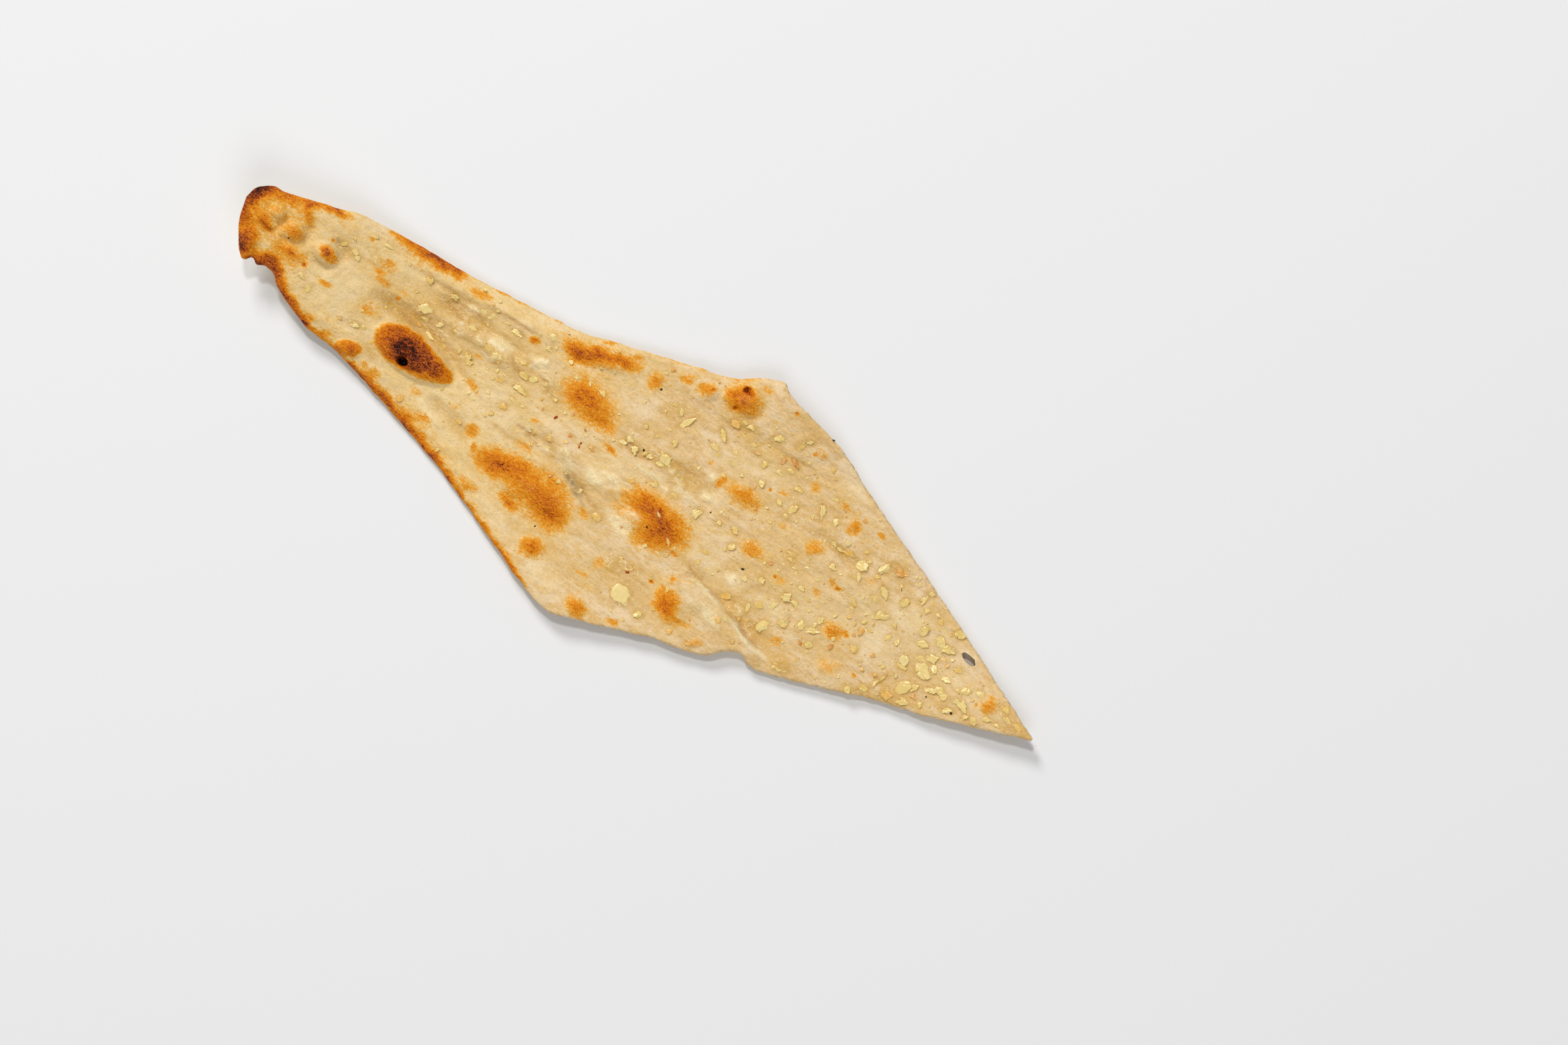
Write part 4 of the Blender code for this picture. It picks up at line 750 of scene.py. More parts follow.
def oilAndShadeAt(x, y):
    wavyX, wavyY = wavered(x, y, "oilAndShade")
    left = 1 - spotsAt(wavyX, wavyY, oilAndShade["spots"])
    # darkens the valleys of the folds and creases: soaked butter and painted shade
    for height, halfWidth, line in (*folds, *creases):
        if height < 0:
            left *= 1 - foldHeight(wavyX, wavyY, oilAndShade["valley"], halfWidth, line)
    soakedAndShaded = 1 - left
    # a darker ring round each piece of garlic: soaked butter and painted contact shadow
    for atX, atY, long, wide, turn, _ in garlic["pieces"]:
        near = (np.abs(x - atX) < 6) & (np.abs(y - atY) < 6)
        away = np.sqrt(ellipse(x[near], y[near], atX, atY, long / 2, wide / 2, turn)) - 1
        away = np.clip(away, 0, None) * 0.25 * (long + wide)
        strength = oilAndShade["oilAndShadowRingStrength"] * min(1.0, long / 3.5)
        oilAndShadowRing = strength * np.exp(-((away / oilAndShade["oilAndShadowRingWidth"]) ** 2))
        soakedAndShaded[near] = 1 - (1 - soakedAndShaded[near]) * (1 - oilAndShadowRing)
    return soakedAndShaded


# the bread starts as a plain slab with the right outline
edge, crust = breadOutline()
selectOnly(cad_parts["naan"])
bpy.ops.object.select_all(action="DESELECT")
bpy.ops.mesh.primitive_circle_add(vertices=len(edge), radius=0.1, fill_type="NOTHING")
naan = bpy.context.object
naan.name = "garlicNaan"
rim = getPoints(naan)
rim[:, :2] = edge[::-1] * mm
setPoints(naan, rim)
bpy.ops.object.mode_set(mode="EDIT")
bpy.ops.mesh.select_all(action="SELECT")
bpy.ops.mesh.edge_face_add()
bpy.ops.mesh.extrude_region_move(TRANSFORM_OT_translate={"value": (0, 0, bread["slab"] * mm)})
bpy.ops.mesh.select_all(action="SELECT")
bpy.ops.mesh.normals_make_consistent(inside=False)
bpy.ops.object.mode_set(mode="OBJECT")

applyModifier(naan, "REMESH", mode="VOXEL", voxel_size=bread["voxel"] * mm, use_smooth_shade=True)

# finer faces on all but the underside, where little shows
for face in naan.data.polygons:
    face.select = face.normal.z > -0.5
selectOnly(naan)
bpy.ops.object.mode_set(mode="EDIT")
bpy.ops.mesh.subdivide(number_cuts=1)
bpy.ops.object.mode_set(mode="OBJECT")

# the small through hole, with a frayed rim
bpy.ops.object.select_all(action="DESELECT")
bpy.ops.mesh.primitive_cylinder_add(
    vertices=24, radius=mm, depth=4 * bread["slab"] * mm,
    location=(hole["at"][0] * mm, hole["at"][1] * mm, 0), rotation=(0, 0, math.radians(hole["turn"])),
)
punch = bpy.context.object
punch.scale = (hole["halfLength"], hole["halfWidth"], 1)
bpy.ops.object.transform_apply(location=True, rotation=True, scale=True)
ragged = getPoints(punch)
fray = np.array([noise.noise(Vector((p[0], p[1], 0)) * hole["frayScale"]) for p in ragged])
ragged[:, :2] += fray[:, None] * hole["fray"] * mm
setPoints(punch, ragged)
applyModifier(naan, "BOOLEAN", operation="DIFFERENCE", object=punch, solver="EXACT")
bpy.data.objects.remove(punch)
naan.data.calc_loop_triangles()
print("slab ready:", len(naan.data.loop_triangles), "triangles")

points = getPoints(naan) / mm
x, y = points[:, 0], points[:, 1]
level = np.clip(points[:, 2] / bread["slab"], 0, 1)
closed = np.vstack((edge, edge[:1]))
away, side, _, segment = lineDistance(x, y, closed)
baked = crust[segment]
along = (np.roll(edge, -1, axis=0) - edge)[segment]
along /= np.linalg.norm(along, axis=1, keepdims=True)
inwardX, inwardY = along[:, 1], -along[:, 0]

# the remesh rounds the outline off, so the wall goes back onto it
onWall = np.where((away < 0.5) & (level > 0.08) & (level < 0.92), np.where(side < 0, away, -away), 0)
x, y = x - inwardX * onWall, y - inwardY * onWall
away = away - np.abs(onWall)

# rounds the rim: fully on the baked edges, barely on the cut ones
rounding = bread["cutRound"] + (bread["crustRound"] - bread["cutRound"]) * baked
u = np.clip(1 - away / rounding, 0, 1)
v = 2 * level - 1
shift = rounding * u * (1 - np.sqrt(1 - v * v / 2))
level = (v * np.sqrt(1 - u * u / 2) + 1) / 2

# the cut edges show an open crumb, in flat cells between the two skins
wall = (1 - baked) * ramp(-away, -0.75, -0.1)
cells = np.array([
    sum(
        weight * noise.noise(Vector((a / long, b / long, c * through + layer)))
        for long, through, layer, weight in bread["crumbCells"]
    )
    for a, b, c in zip(x, y, level)
])
usual, change, deepest = bread["crumbDepth"]
hollow = np.clip(usual + change * cells, 0, deepest)
shift += wall * ramp(level, 0.08, 0.3) * ramp(-level, -0.86, -0.62) * hollow
x = x + inwardX * shift
y = y + inwardY * shift

# heights, and what the materials read
toasted = toastAt(x, y)
onTop = ramp(level, 0.6, 0.9)
thin = 1 - (1 - bread["crustEdge"] / bread["dough"]) * baked * ramp(-away, -5, 0)
low = undersideHeight(x, y)
deep = breadThickness(x, y)
low = low + deep * (1 - thin) * 0.5
low = np.maximum(low + layered(x, y, bread["dimples"]) * ramp(low, 0.05, 0.8), 0)
z = low + level * deep * thin
z = z + ramp(level, 0.6, 1.0) * fineRelief(x, y, toasted)
setPoints(naan, np.stack((x, y, z), axis=1) * mm)
addAttribute(naan, "toast", toasted * ramp(level, 0.25, 0.75))
# soaked butter, with painted shade in the valleys and painted contact shadow round the garlic
addAttribute(naan, "oilAndShade", oilAndShadeAt(x, y))
# pale floury skin, and painted highlights on the butter
addAttribute(naan, "flourAndHighlight", spotsAt(x, y, flourAndHighlight))
addAttribute(naan, "soot", spotsAt(x, y, soot))
addAttribute(naan, "wet", filmOver(x, y)[0] * onTop)
# painted highlights along the light wrinkles and the flap's lip
addAttribute(naan, "gleam", veinsAt(x, y, "light") * onTop)
addAttribute(naan, "lip", veinsAt(x, y, "lip") * onTop)
# painted shade along the dark creases
addAttribute(naan, "veinShade", veinsAt(x, y, "dark") * onTop)
addAttribute(naan, "crumb", wall * ramp(level, 0.08, 0.22) * ramp(-level, -0.9, -0.74))
addAttribute(naan, "below", ramp(-level, -0.3, -0.1))
addAttribute(naan, "fair", ramp(-x, -5, 60))
selectOnly(naan)
bpy.ops.object.shade_smooth()
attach(naan, "root")
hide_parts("naan")
print("bread shaped:", len(naan.data.vertices), "points")


def topHeight(x, y, fine=True):
    spotX, spotY = np.atleast_1d(np.array(x, float)), np.atleast_1d(np.array(y, float))
    top = undersideHeight(spotX, spotY) + breadThickness(spotX, spotY)
    if fine:
        top = top + fineRelief(spotX, spotY, np.zeros(spotX.shape))
    return top


def tint(red, green, blue):
    # a colour as a paint program gives it, 0 to 255
    channels = [c / 255 for c in (red, green, blue)]
    return tuple(c / 12.92 if c < 0.04045 else ((c + 0.055) / 1.055) ** 2.4 for c in channels) + (1,)


def modelGarlicShape(number, flakes, biggest, spread, draw):
    # flat broken flakes grown together, with their edges cooked soft
    bpy.ops.object.select_all(action="DESELECT")
    bpy.ops.mesh.primitive_cylinder_add(vertices=6, radius=biggest, depth=0.3)
    chip = bpy.context.object
    chip.name = f"garlicShape{number}"
    bpy.ops.object.mode_set(mode="EDIT")
    for i in range(flakes):
        turn = 2 * math.pi * (i + draw.uniform(-0.3, 0.3)) / flakes
        reach = spread * draw.uniform(0.6, 1.1)
        bpy.ops.mesh.primitive_cylinder_add(
            vertices=draw.choice((3, 4, 5)), radius=draw.uniform(0.16, 0.3), depth=draw.uniform(0.18, 0.34),
            location=(reach * math.cos(turn), reach * math.sin(turn), draw.uniform(-0.05, 0.08)),
            rotation=(draw.uniform(-0.28, 0.28), draw.uniform(-0.28, 0.28), draw.uniform(0, 3)),
        )
    bpy.ops.object.mode_set(mode="OBJECT")
    applyModifier(chip, "REMESH", mode="VOXEL", voxel_size=0.045)
    points = getPoints(chip)
    rough = np.array([noise.noise_vector(Vector(p) * 3.2 + Vector((0, 0, number))) for p in points])
    fine = np.array([noise.noise_vector(Vector(p) * 8 + Vector((0, number, 0))) for p in points])
    setPoints(chip, points + 0.11 * rough * (1, 1, 0.5) + 0.06 * fine * (1, 1, 1.4))
    applyModifier(chip, "SMOOTH", factor=0.5, iterations=garlic["soften"])
    applyModifier(chip, "DECIMATE", ratio=garlic["triangles"] / (2 * len(chip.data.polygons)))
    points = getPoints(chip)
    points -= (points.max(0) + points.min(0)) / 2
    points /= points.max(0) - points.min(0)
    setPoints(chip, points)
    return chip


def placeGarlic(shape, x, y, long, wide, high, turn, tone, draw):
    chip = shape.copy()
    chip.data = shape.data.copy()
    bpy.context.scene.collection.objects.link(chip)
    step = 1.0
    heights = topHeight((x, x + step, x, x - step, x), (y, y, y + step, y, y - step), False)
    slopeX, slopeY = (heights[1] - heights[3]) / 2 / step, (heights[2] - heights[4]) / 2 / step
    tilt = garlic["tilt"]
    up = Vector((-slopeX + draw.uniform(-tilt, tilt), -slopeY + draw.uniform(-tilt, tilt), 1)).normalized()
    lean = Vector((0, 0, 1)).rotation_difference(up).to_matrix().to_4x4()
    place = Matrix.Translation((x * mm, y * mm, (heights[0] + garlic["lift"] * high) * mm))
    scale = Matrix.Diagonal((long * mm, wide * mm, high * mm, 1))
    chip.data.transform(place @ lean @ Matrix.Rotation(math.radians(turn), 4, "Z") @ scale)
    addAttribute(chip, "tone", np.full(len(chip.data.vertices), tone))
    addAttribute(chip, "luck", np.full(len(chip.data.vertices), draw.random()))
    return chip


def joinAs(name, pieces):
    bpy.ops.object.select_all(action="DESELECT")
    for piece in pieces:
        piece.select_set(True)
    bpy.context.view_layer.objects.active = pieces[0]
    bpy.ops.object.join()
    joined = bpy.context.object
    joined.name = name
    return joined


def scatterCrumbs(draw):
    placed = [(a, b, long) for a, b, long, *_ in garlic["pieces"]]
    fromX, toX, fromY, toY = garlic["crumbArea"]
    least, more = garlic["crumbSize"]
    found = []
    while len(found) < garlic["crumbs"]:
        x, y = draw.uniform(fromX, toX), draw.uniform(fromY, toY)
        size = least + more * draw.random() ** 2
        wanted = garlic["crumbLeast"]
        for share, low, high in garlic["crumbMore"]:
            wanted += share * ramp(x, low, high)
        wanted *= math.exp(-((y - 5 + x / 30) / 28) ** 2)  # fewer towards the edges
        spotX, spotY = np.array([x]), np.array([y])
        awayOne, sideOne, *_ = lineDistance(spotX, spotY, closed)
        if draw.random() > wanted or sideOne[0] > 0 or awayOne[0] < 1.5:
            continue
        if toastAt(spotX, spotY)[0] > garlic["crumbToast"]:
            continue
        if math.hypot(x - hole["at"][0], y - hole["at"][1]) < hole["halfLength"] + 1.5:
            continue
        if any(math.hypot(x - a, y - b) < 0.5 * (size + c) for a, b, c in placed):
            continue
        placed.append((x, y, size))
        wide = size * draw.uniform(0.5, 0.95)
        found.append((x, y, size, wide, draw.uniform(0, 180), 0.5 * draw.random() ** 1.4))
    return found


noise.seed_set(garlic["seed"])  # without it noise_vector starts from the clock
draw = random.Random(garlic["seed"])
shapes = [modelGarlicShape(i, *one, draw) for i, one in enumerate(garlic["shapes"])]
lump = modelGarlicShape(len(shapes), *garlic["lump"], draw)
chips = []
for i, (x, y, long, wide, turn, tone) in enumerate(garlic["pieces"]):
    wet = garlic["wetTones"][0] < tone < garlic["wetTones"][1]
    high = min(garlic["tallest"], 0.17 * wide + 0.35) * (garlic["wetHeight"] if wet else 1)
    shape = lump if wide > garlic["lumpFrom"] else shapes[i % len(shapes)]
    long, wide = garlic["grow"] * long, garlic["grow"] * wide
    chips.append(placeGarlic(shape, x, y, long, wide, high, turn, tone, draw))
crumbs = []
for i, (x, y, long, wide, turn, tone) in enumerate(scatterCrumbs(draw)):
    high = 0.26 * wide + 0.2
    crumbs.append(placeGarlic(shapes[i % len(shapes)], x, y, long, wide, high, turn, tone, draw))
for shape in (*shapes, lump):
    bpy.data.objects.remove(shape)
garlicChips = joinAs("garlicChips", chips)
garlicCrumbs = joinAs("garlicCrumbs", crumbs)
for piece in (garlicChips, garlicCrumbs):
    selectOnly(piece)
    bpy.ops.object.shade_smooth_by_angle(angle=math.radians(50))
    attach(piece, "root")
print("garlic placed:", len(garlicChips.data.polygons) + len(garlicCrumbs.data.polygons), "faces")

# small drops of butter that stand on the bread
butter = {
    "beads": 90,  # scattered along the buttered parts
    "halfWidth": (0.15, 0.36),
    "stretch": (1, 2.2),
    "wavy": 0.5,
    "seed": 21,
}


def placeBead(x, y, halfLong, halfWide, turn, thick):
    # a squashed sphere whose middle follows the bread, with a wavy outline
    bpy.ops.object.select_all(action="DESELECT")
    bpy.ops.mesh.primitive_uv_sphere_add(segments=14, ring_count=9, radius=1)
    bead = bpy.context.object
    points = getPoints(bead)
    waves = np.array([noise.noise(Vector((a * 1.3, b * 1.3, x + y))) for a, b, _ in points])
    grow = 1 + butter["wavy"] * waves
    c, s = math.cos(math.radians(turn)), math.sin(math.radians(turn))
    along, across = points[:, 0] * grow * halfLong, points[:, 1] * grow * halfWide
    spotX, spotY = x + along * c - across * s, y + along * s + across * c
    rise = points[:, 2] * thick + topHeight(np.array([x]), np.array([y]))[0]
    setPoints(bead, np.stack((spotX, spotY, rise), axis=1) * mm)
    return bead


def scatterBeads(draw):
    found = []
    while len(found) < butter["beads"]:
        x, y, halfLong, halfWide, turn, _ = draw.choice(oilAndShade["spots"])
        angle, reach = draw.uniform(0, 2 * math.pi), draw.uniform(0, 1.1)
        size = draw.uniform(*butter["halfWidth"])
        c, s = math.cos(math.radians(turn)), math.sin(math.radians(turn))
        along, across = halfLong * reach * math.cos(angle), halfWide * reach * math.sin(angle)
        spotX, spotY = x + along * c - across * s, y + along * s + across * c
        awayOne, sideOne, *_ = lineDistance(np.array([spotX]), np.array([spotY]), closed)
        if sideOne[0] > 0 or awayOne[0] < 1:
            continue
        long = size * draw.uniform(*butter["stretch"])
        found.append((spotX, spotY, long, size, draw.uniform(-30, 30), 0.5 * size + 0.08))
    return found


draw = random.Random(butter["seed"])
butterBeads = joinAs("butterBeads", [placeBead(*one) for one in scatterBeads(draw)])
selectOnly(butterBeads)
bpy.ops.object.shade_smooth()
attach(butterBeads, "root")
print("butter placed:", len(butterBeads.data.polygons), "faces")

flecks = {
    # x, y, length, width, turn
    "chilli": (
        (-29.6, 0.7, 1.3, 0.8, 70), (13.6, -24.5, 1.2, 0.8, 10), (-19.2, -1.4, 1.1, 0.5, 75),
        (-19, -2.6, 1.1, 0.5, 110), (11.4, -4.2, 1.5, 0.7, -30),
    ),
    "herb": (
        (40.9, -4.4, 1, 0.7, 20), (23.6, 3.8, 1, 0.5, 60), (-2.9, 7.6, 0.8, 0.7, 0),
        (115.1, -4.1, 0.9, 0.8, 0), (-8.9, 25.2, 0.9, 0.6, 20), (-34.5, -19.6, 0.7, 0.6, 0),
        (10.8, -10.4, 0.7, 0.6, 0), (82.6, 17.2, 0.5, 0.4, 0), (41.2, 41.8, 0.9, 0.5, 0),
        (-16.4, -29, 0.9, 0.3, 60), (106.4, -4.4, 0.5, 0.4, 0), (-123.2, -0.9, 0.6, 0.5, 0),
    ),
    "thick": 0.4,
    "lift": 0.06,
}


def placeFleck(x, y, long, wide, turn):
    height = topHeight(x, y)[0]
    bpy.ops.object.select_all(action="DESELECT")
    bpy.ops.mesh.primitive_ico_sphere_add(
        subdivisions=2, radius=0.5, location=(x * mm, y * mm, (height + flecks["lift"]) * mm),
        rotation=(0, 0, math.radians(turn)),
    )
    fleck = bpy.context.object
    fleck.scale = (long * mm, wide * mm, flecks["thick"] * mm)
    bpy.ops.object.transform_apply(location=True, rotation=True, scale=True)
    points = getPoints(fleck)
    middle = points.mean(axis=0)
    wobble = np.array([noise.noise(Vector(p) * 2600) for p in points])
    setPoints(fleck, middle + (points - middle) * (0.95 + 0.6 * wobble)[:, None])
    return fleck


chilliFlecks = joinAs("chilliFlecks", [placeFleck(*one) for one in flecks["chilli"]])
herbFlecks = joinAs("herbFlecks", [placeFleck(*one) for one in flecks["herb"]])
for piece in (chilliFlecks, herbFlecks):
    selectOnly(piece)
    bpy.ops.object.shade_smooth()
    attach(piece, "root")
print("flecks placed")


def addNode(tree, kind, inputs=(), **settings):
    made = tree.nodes.new(kind)
    for name, value in settings.items():
        setattr(made, name, value)
    for name, value in dict(inputs).items():
        if isinstance(value, bpy.types.NodeSocket):
            tree.links.new(value, made.inputs[name])
        else:
            made.inputs[name].default_value = value
    return made


def calc(tree, operation, first, second=0.0, clamp=False):
    made = addNode(tree, "ShaderNodeMath", {0: first, 1: second}, operation=operation, use_clamp=clamp)
    return made.outputs[0]


def times(tree, *values, clamp=False):
    product = values[0]
    for value in values[1:]:
        product = calc(tree, "MULTIPLY", product, value, clamp)
    return product


def plus(tree, *values, clamp=False):
    total = values[0]
    for i, value in enumerate(values[1:], 2):
        total = calc(tree, "ADD", total, value, clamp and i == len(values))
    return total


def lines(tree, value, middle, width):
    # thin lines where a noise passes its middle value
    off = calc(tree, "ABSOLUTE", calc(tree, "SUBTRACT", value, middle))
    return spread(tree, off, width, 0.0)


def spread(tree, value, low, high, outLow=0.0, outHigh=1.0):
    made = addNode(tree, "ShaderNodeMapRange", {
        "Value": value, "From Min": low, "From Max": high, "To Min": outLow, "To Max": outHigh,
    }, interpolation_type="SMOOTHSTEP")
    return made.outputs["Result"]


def mixColour(tree, share, first, second):
    made = addNode(tree, "ShaderNodeMix", data_type="RGBA")
    for index, value in ((0, share), (6, first), (7, second)):
        if isinstance(value, bpy.types.NodeSocket):
            tree.links.new(value, made.inputs[index])
        else:
            made.inputs[index].default_value = value
    return made.outputs[2]


def colourRamp(tree, value, stops):
    made = addNode(tree, "ShaderNodeValToRGB", {"Fac": value})
    elements = made.color_ramp.elements
    while len(elements) < len(stops):
        elements.new(0.5)
    for element, (position, colour) in zip(elements, stops):
        element.position = position
        element.color = colour
    return made.outputs["Color"]


def grain(tree, scale, detail=3.0, rough=0.55, stretch=(1, 1, 1), distort=0.0):
    # noise in the piece's own coordinates; scale is in cells for each metre
    where = addNode(tree, "ShaderNodeTexCoord").outputs["Object"]
    moved = addNode(tree, "ShaderNodeMapping", {"Vector": where, "Scale": stretch}).outputs["Vector"]
    made = addNode(tree, "ShaderNodeTexNoise", {
        "Vector": moved, "Scale": scale, "Detail": detail, "Roughness": rough, "Distortion": distort,
    })
    return made.outputs[0]


def cellDistance(tree, scale, stretch=(1, 1, 1)):
    where = addNode(tree, "ShaderNodeTexCoord").outputs["Object"]
    moved = addNode(tree, "ShaderNodeMapping", {"Vector": where, "Scale": stretch}).outputs["Vector"]
    return addNode(tree, "ShaderNodeTexVoronoi", {"Vector": moved, "Scale": scale}).outputs["Distance"]


def layColours(tree, base, patterns, layers, look):
    # each layer colours the base where its pattern rises from low to high, up to the share in most
    for name, low, high, most, colour in layers:
        base = mixColour(tree, spread(tree, patterns[name], low, high, 0.0, most), base, look[colour])
    return base


def attribute(tree, name):
    return addNode(tree, "ShaderNodeAttribute", attribute_name=name).outputs["Fac"]


def newMaterial(name, obj):
    material = bpy.data.materials.new(name)
    material.use_nodes = True
    obj.data.materials.clear()
    obj.data.materials.append(material)
    return material.node_tree, material.node_tree.nodes["Principled BSDF"]


def setInputs(shader, values):
    for name, value in values.items():
        shader.inputs[name].default_value = value


def addBump(tree, height, strength, distance):
    settings = {"Height": height, "Strength": strength, "Distance": distance}
    return addNode(tree, "ShaderNodeBump", settings).outputs["Normal"]


breadLook = {
    "plain": tint(229, 194, 134),
    "pale": tint(236, 210, 169),
    "tan": tint(210, 166, 102),
    "fair": tint(239, 212, 150),  # towards the head
    "yellow": tint(224, 183, 102),
    "shaded": tint(217, 177, 114),
    # soaked butter, also laid as painted shade in the valleys and round the garlic
    "soakedAndShaded": tint(204, 156, 62),
    # painted shade for creases
    "creaseShade": tint(184, 134, 66),
    # painted highlight colour
    "shine": tint(253, 236, 188),
    # pale floury skin and painted highlights on the butter, the second whiter
    "flouryAndHighlight": tint(248, 226, 174),
    "chalkAndHighlight": tint(255, 244, 214),
    "pore": tint(168, 118, 58),
    "soot": tint(124, 106, 74),
    "crumbPale": tint(243, 223, 178),
    "crumbPore": tint(215, 178, 120),
    "underBrown": tint(168, 92, 28),
    "toastStops": (
        (0.0, tint(231, 195, 130)), (0.14, tint(229, 179, 92)), (0.3, tint(228, 156, 48)),
        (0.46, tint(219, 131, 12)), (0.6, tint(199, 104, 4)), (0.74, tint(156, 67, 3)),
        (0.86, tint(92, 31, 4)), (1.0, tint(5, 3, 2)),
    ),
    # cells for each metre, detail, roughness, stretch and distortion of each noise
    "grains": {
        "fibre": (140, 5, 0.6, (1, 2.6, 2), 0.8),
        "cloud": (100, 5, 0.6, (1, 1.5, 1), 0.5),
        "patch": (62, 5, 0.6, (1, 1.8, 1), 0.5),
        "fine": (1000, 3, 0.6, (0.8, 1.2, 1)),
        "speckle": (2300, 2, 0.5),
        "smear": (260, 5, 0.65, (1, 1.9, 1), 1.4),
        "strand": (420, 3, 0.6, (1, 7, 3), 0.5),
        "streak": (90, 4, 0.6, (1, 4.2, 1), 1.0),
        "wrinkle": (210, 2, 0.45, (1, 2.0, 1), 1.2),
        "wiry": (430, 3, 0.5, (1, 2.2, 1), 1.4),
        "pores": (700, 4, 0.65, (1, 1, 2.2)),
        "spots": (130, 5, 0.62, (1, 1.3, 1), 0.2),
    },
    "blisterCells": (1500, (1, 1.2, 1)),
    # noise, where it starts and is full, most of the colour, colour
    "mottling": (
        ("cloud", 0.46, 0.64, 0.9, "pale"), ("patch", 0.46, 0.68, 0.6, "yellow"),
        ("smear", 0.52, 0.68, 0.5, "tan"), ("smear", 0.46, 0.34, 0.5, "pale"),
        ("strand", 0.5, 0.66, 0.3, "tan"), ("strand", 0.46, 0.34, 0.3, "pale"),
        ("streak", 0.52, 0.66, 0.55, "pale"), ("streak", 0.44, 0.34, 0.45, "shaded"),
    ),
    "freckles": (
        ("speckle", 0.5, 0.75, 0.2, "pore"), ("fine", 0.55, 0.7, 0.22, "pore"),
        ("fine", 0.46, 0.34, 0.3, "pale"),
    ),
    # what breaks the browning up: noise, its middle value, weight
    "breaking": (
        ("speckle", 0.5, 0.46), ("fine", 0.5, 0.5), ("bubbly", 0.42, 0.1), ("smear", 0.5, 0.42),
        ("strand", 0.5, 0.36),
    ),
    "bumps": (("fibre", 0.4), ("fine", 1.1), ("gleam", 0.12), ("strand", 0.25), ("speckle", 0.25)),
    "bumpDepth": 0.0004,  # metres
    "surface": {
        "Subsurface Weight": 0.12, "Subsurface Radius": (1.0, 0.55, 0.25), "Subsurface Scale": 0.002,
        "Specular IOR Level": 0.07,
    },
}


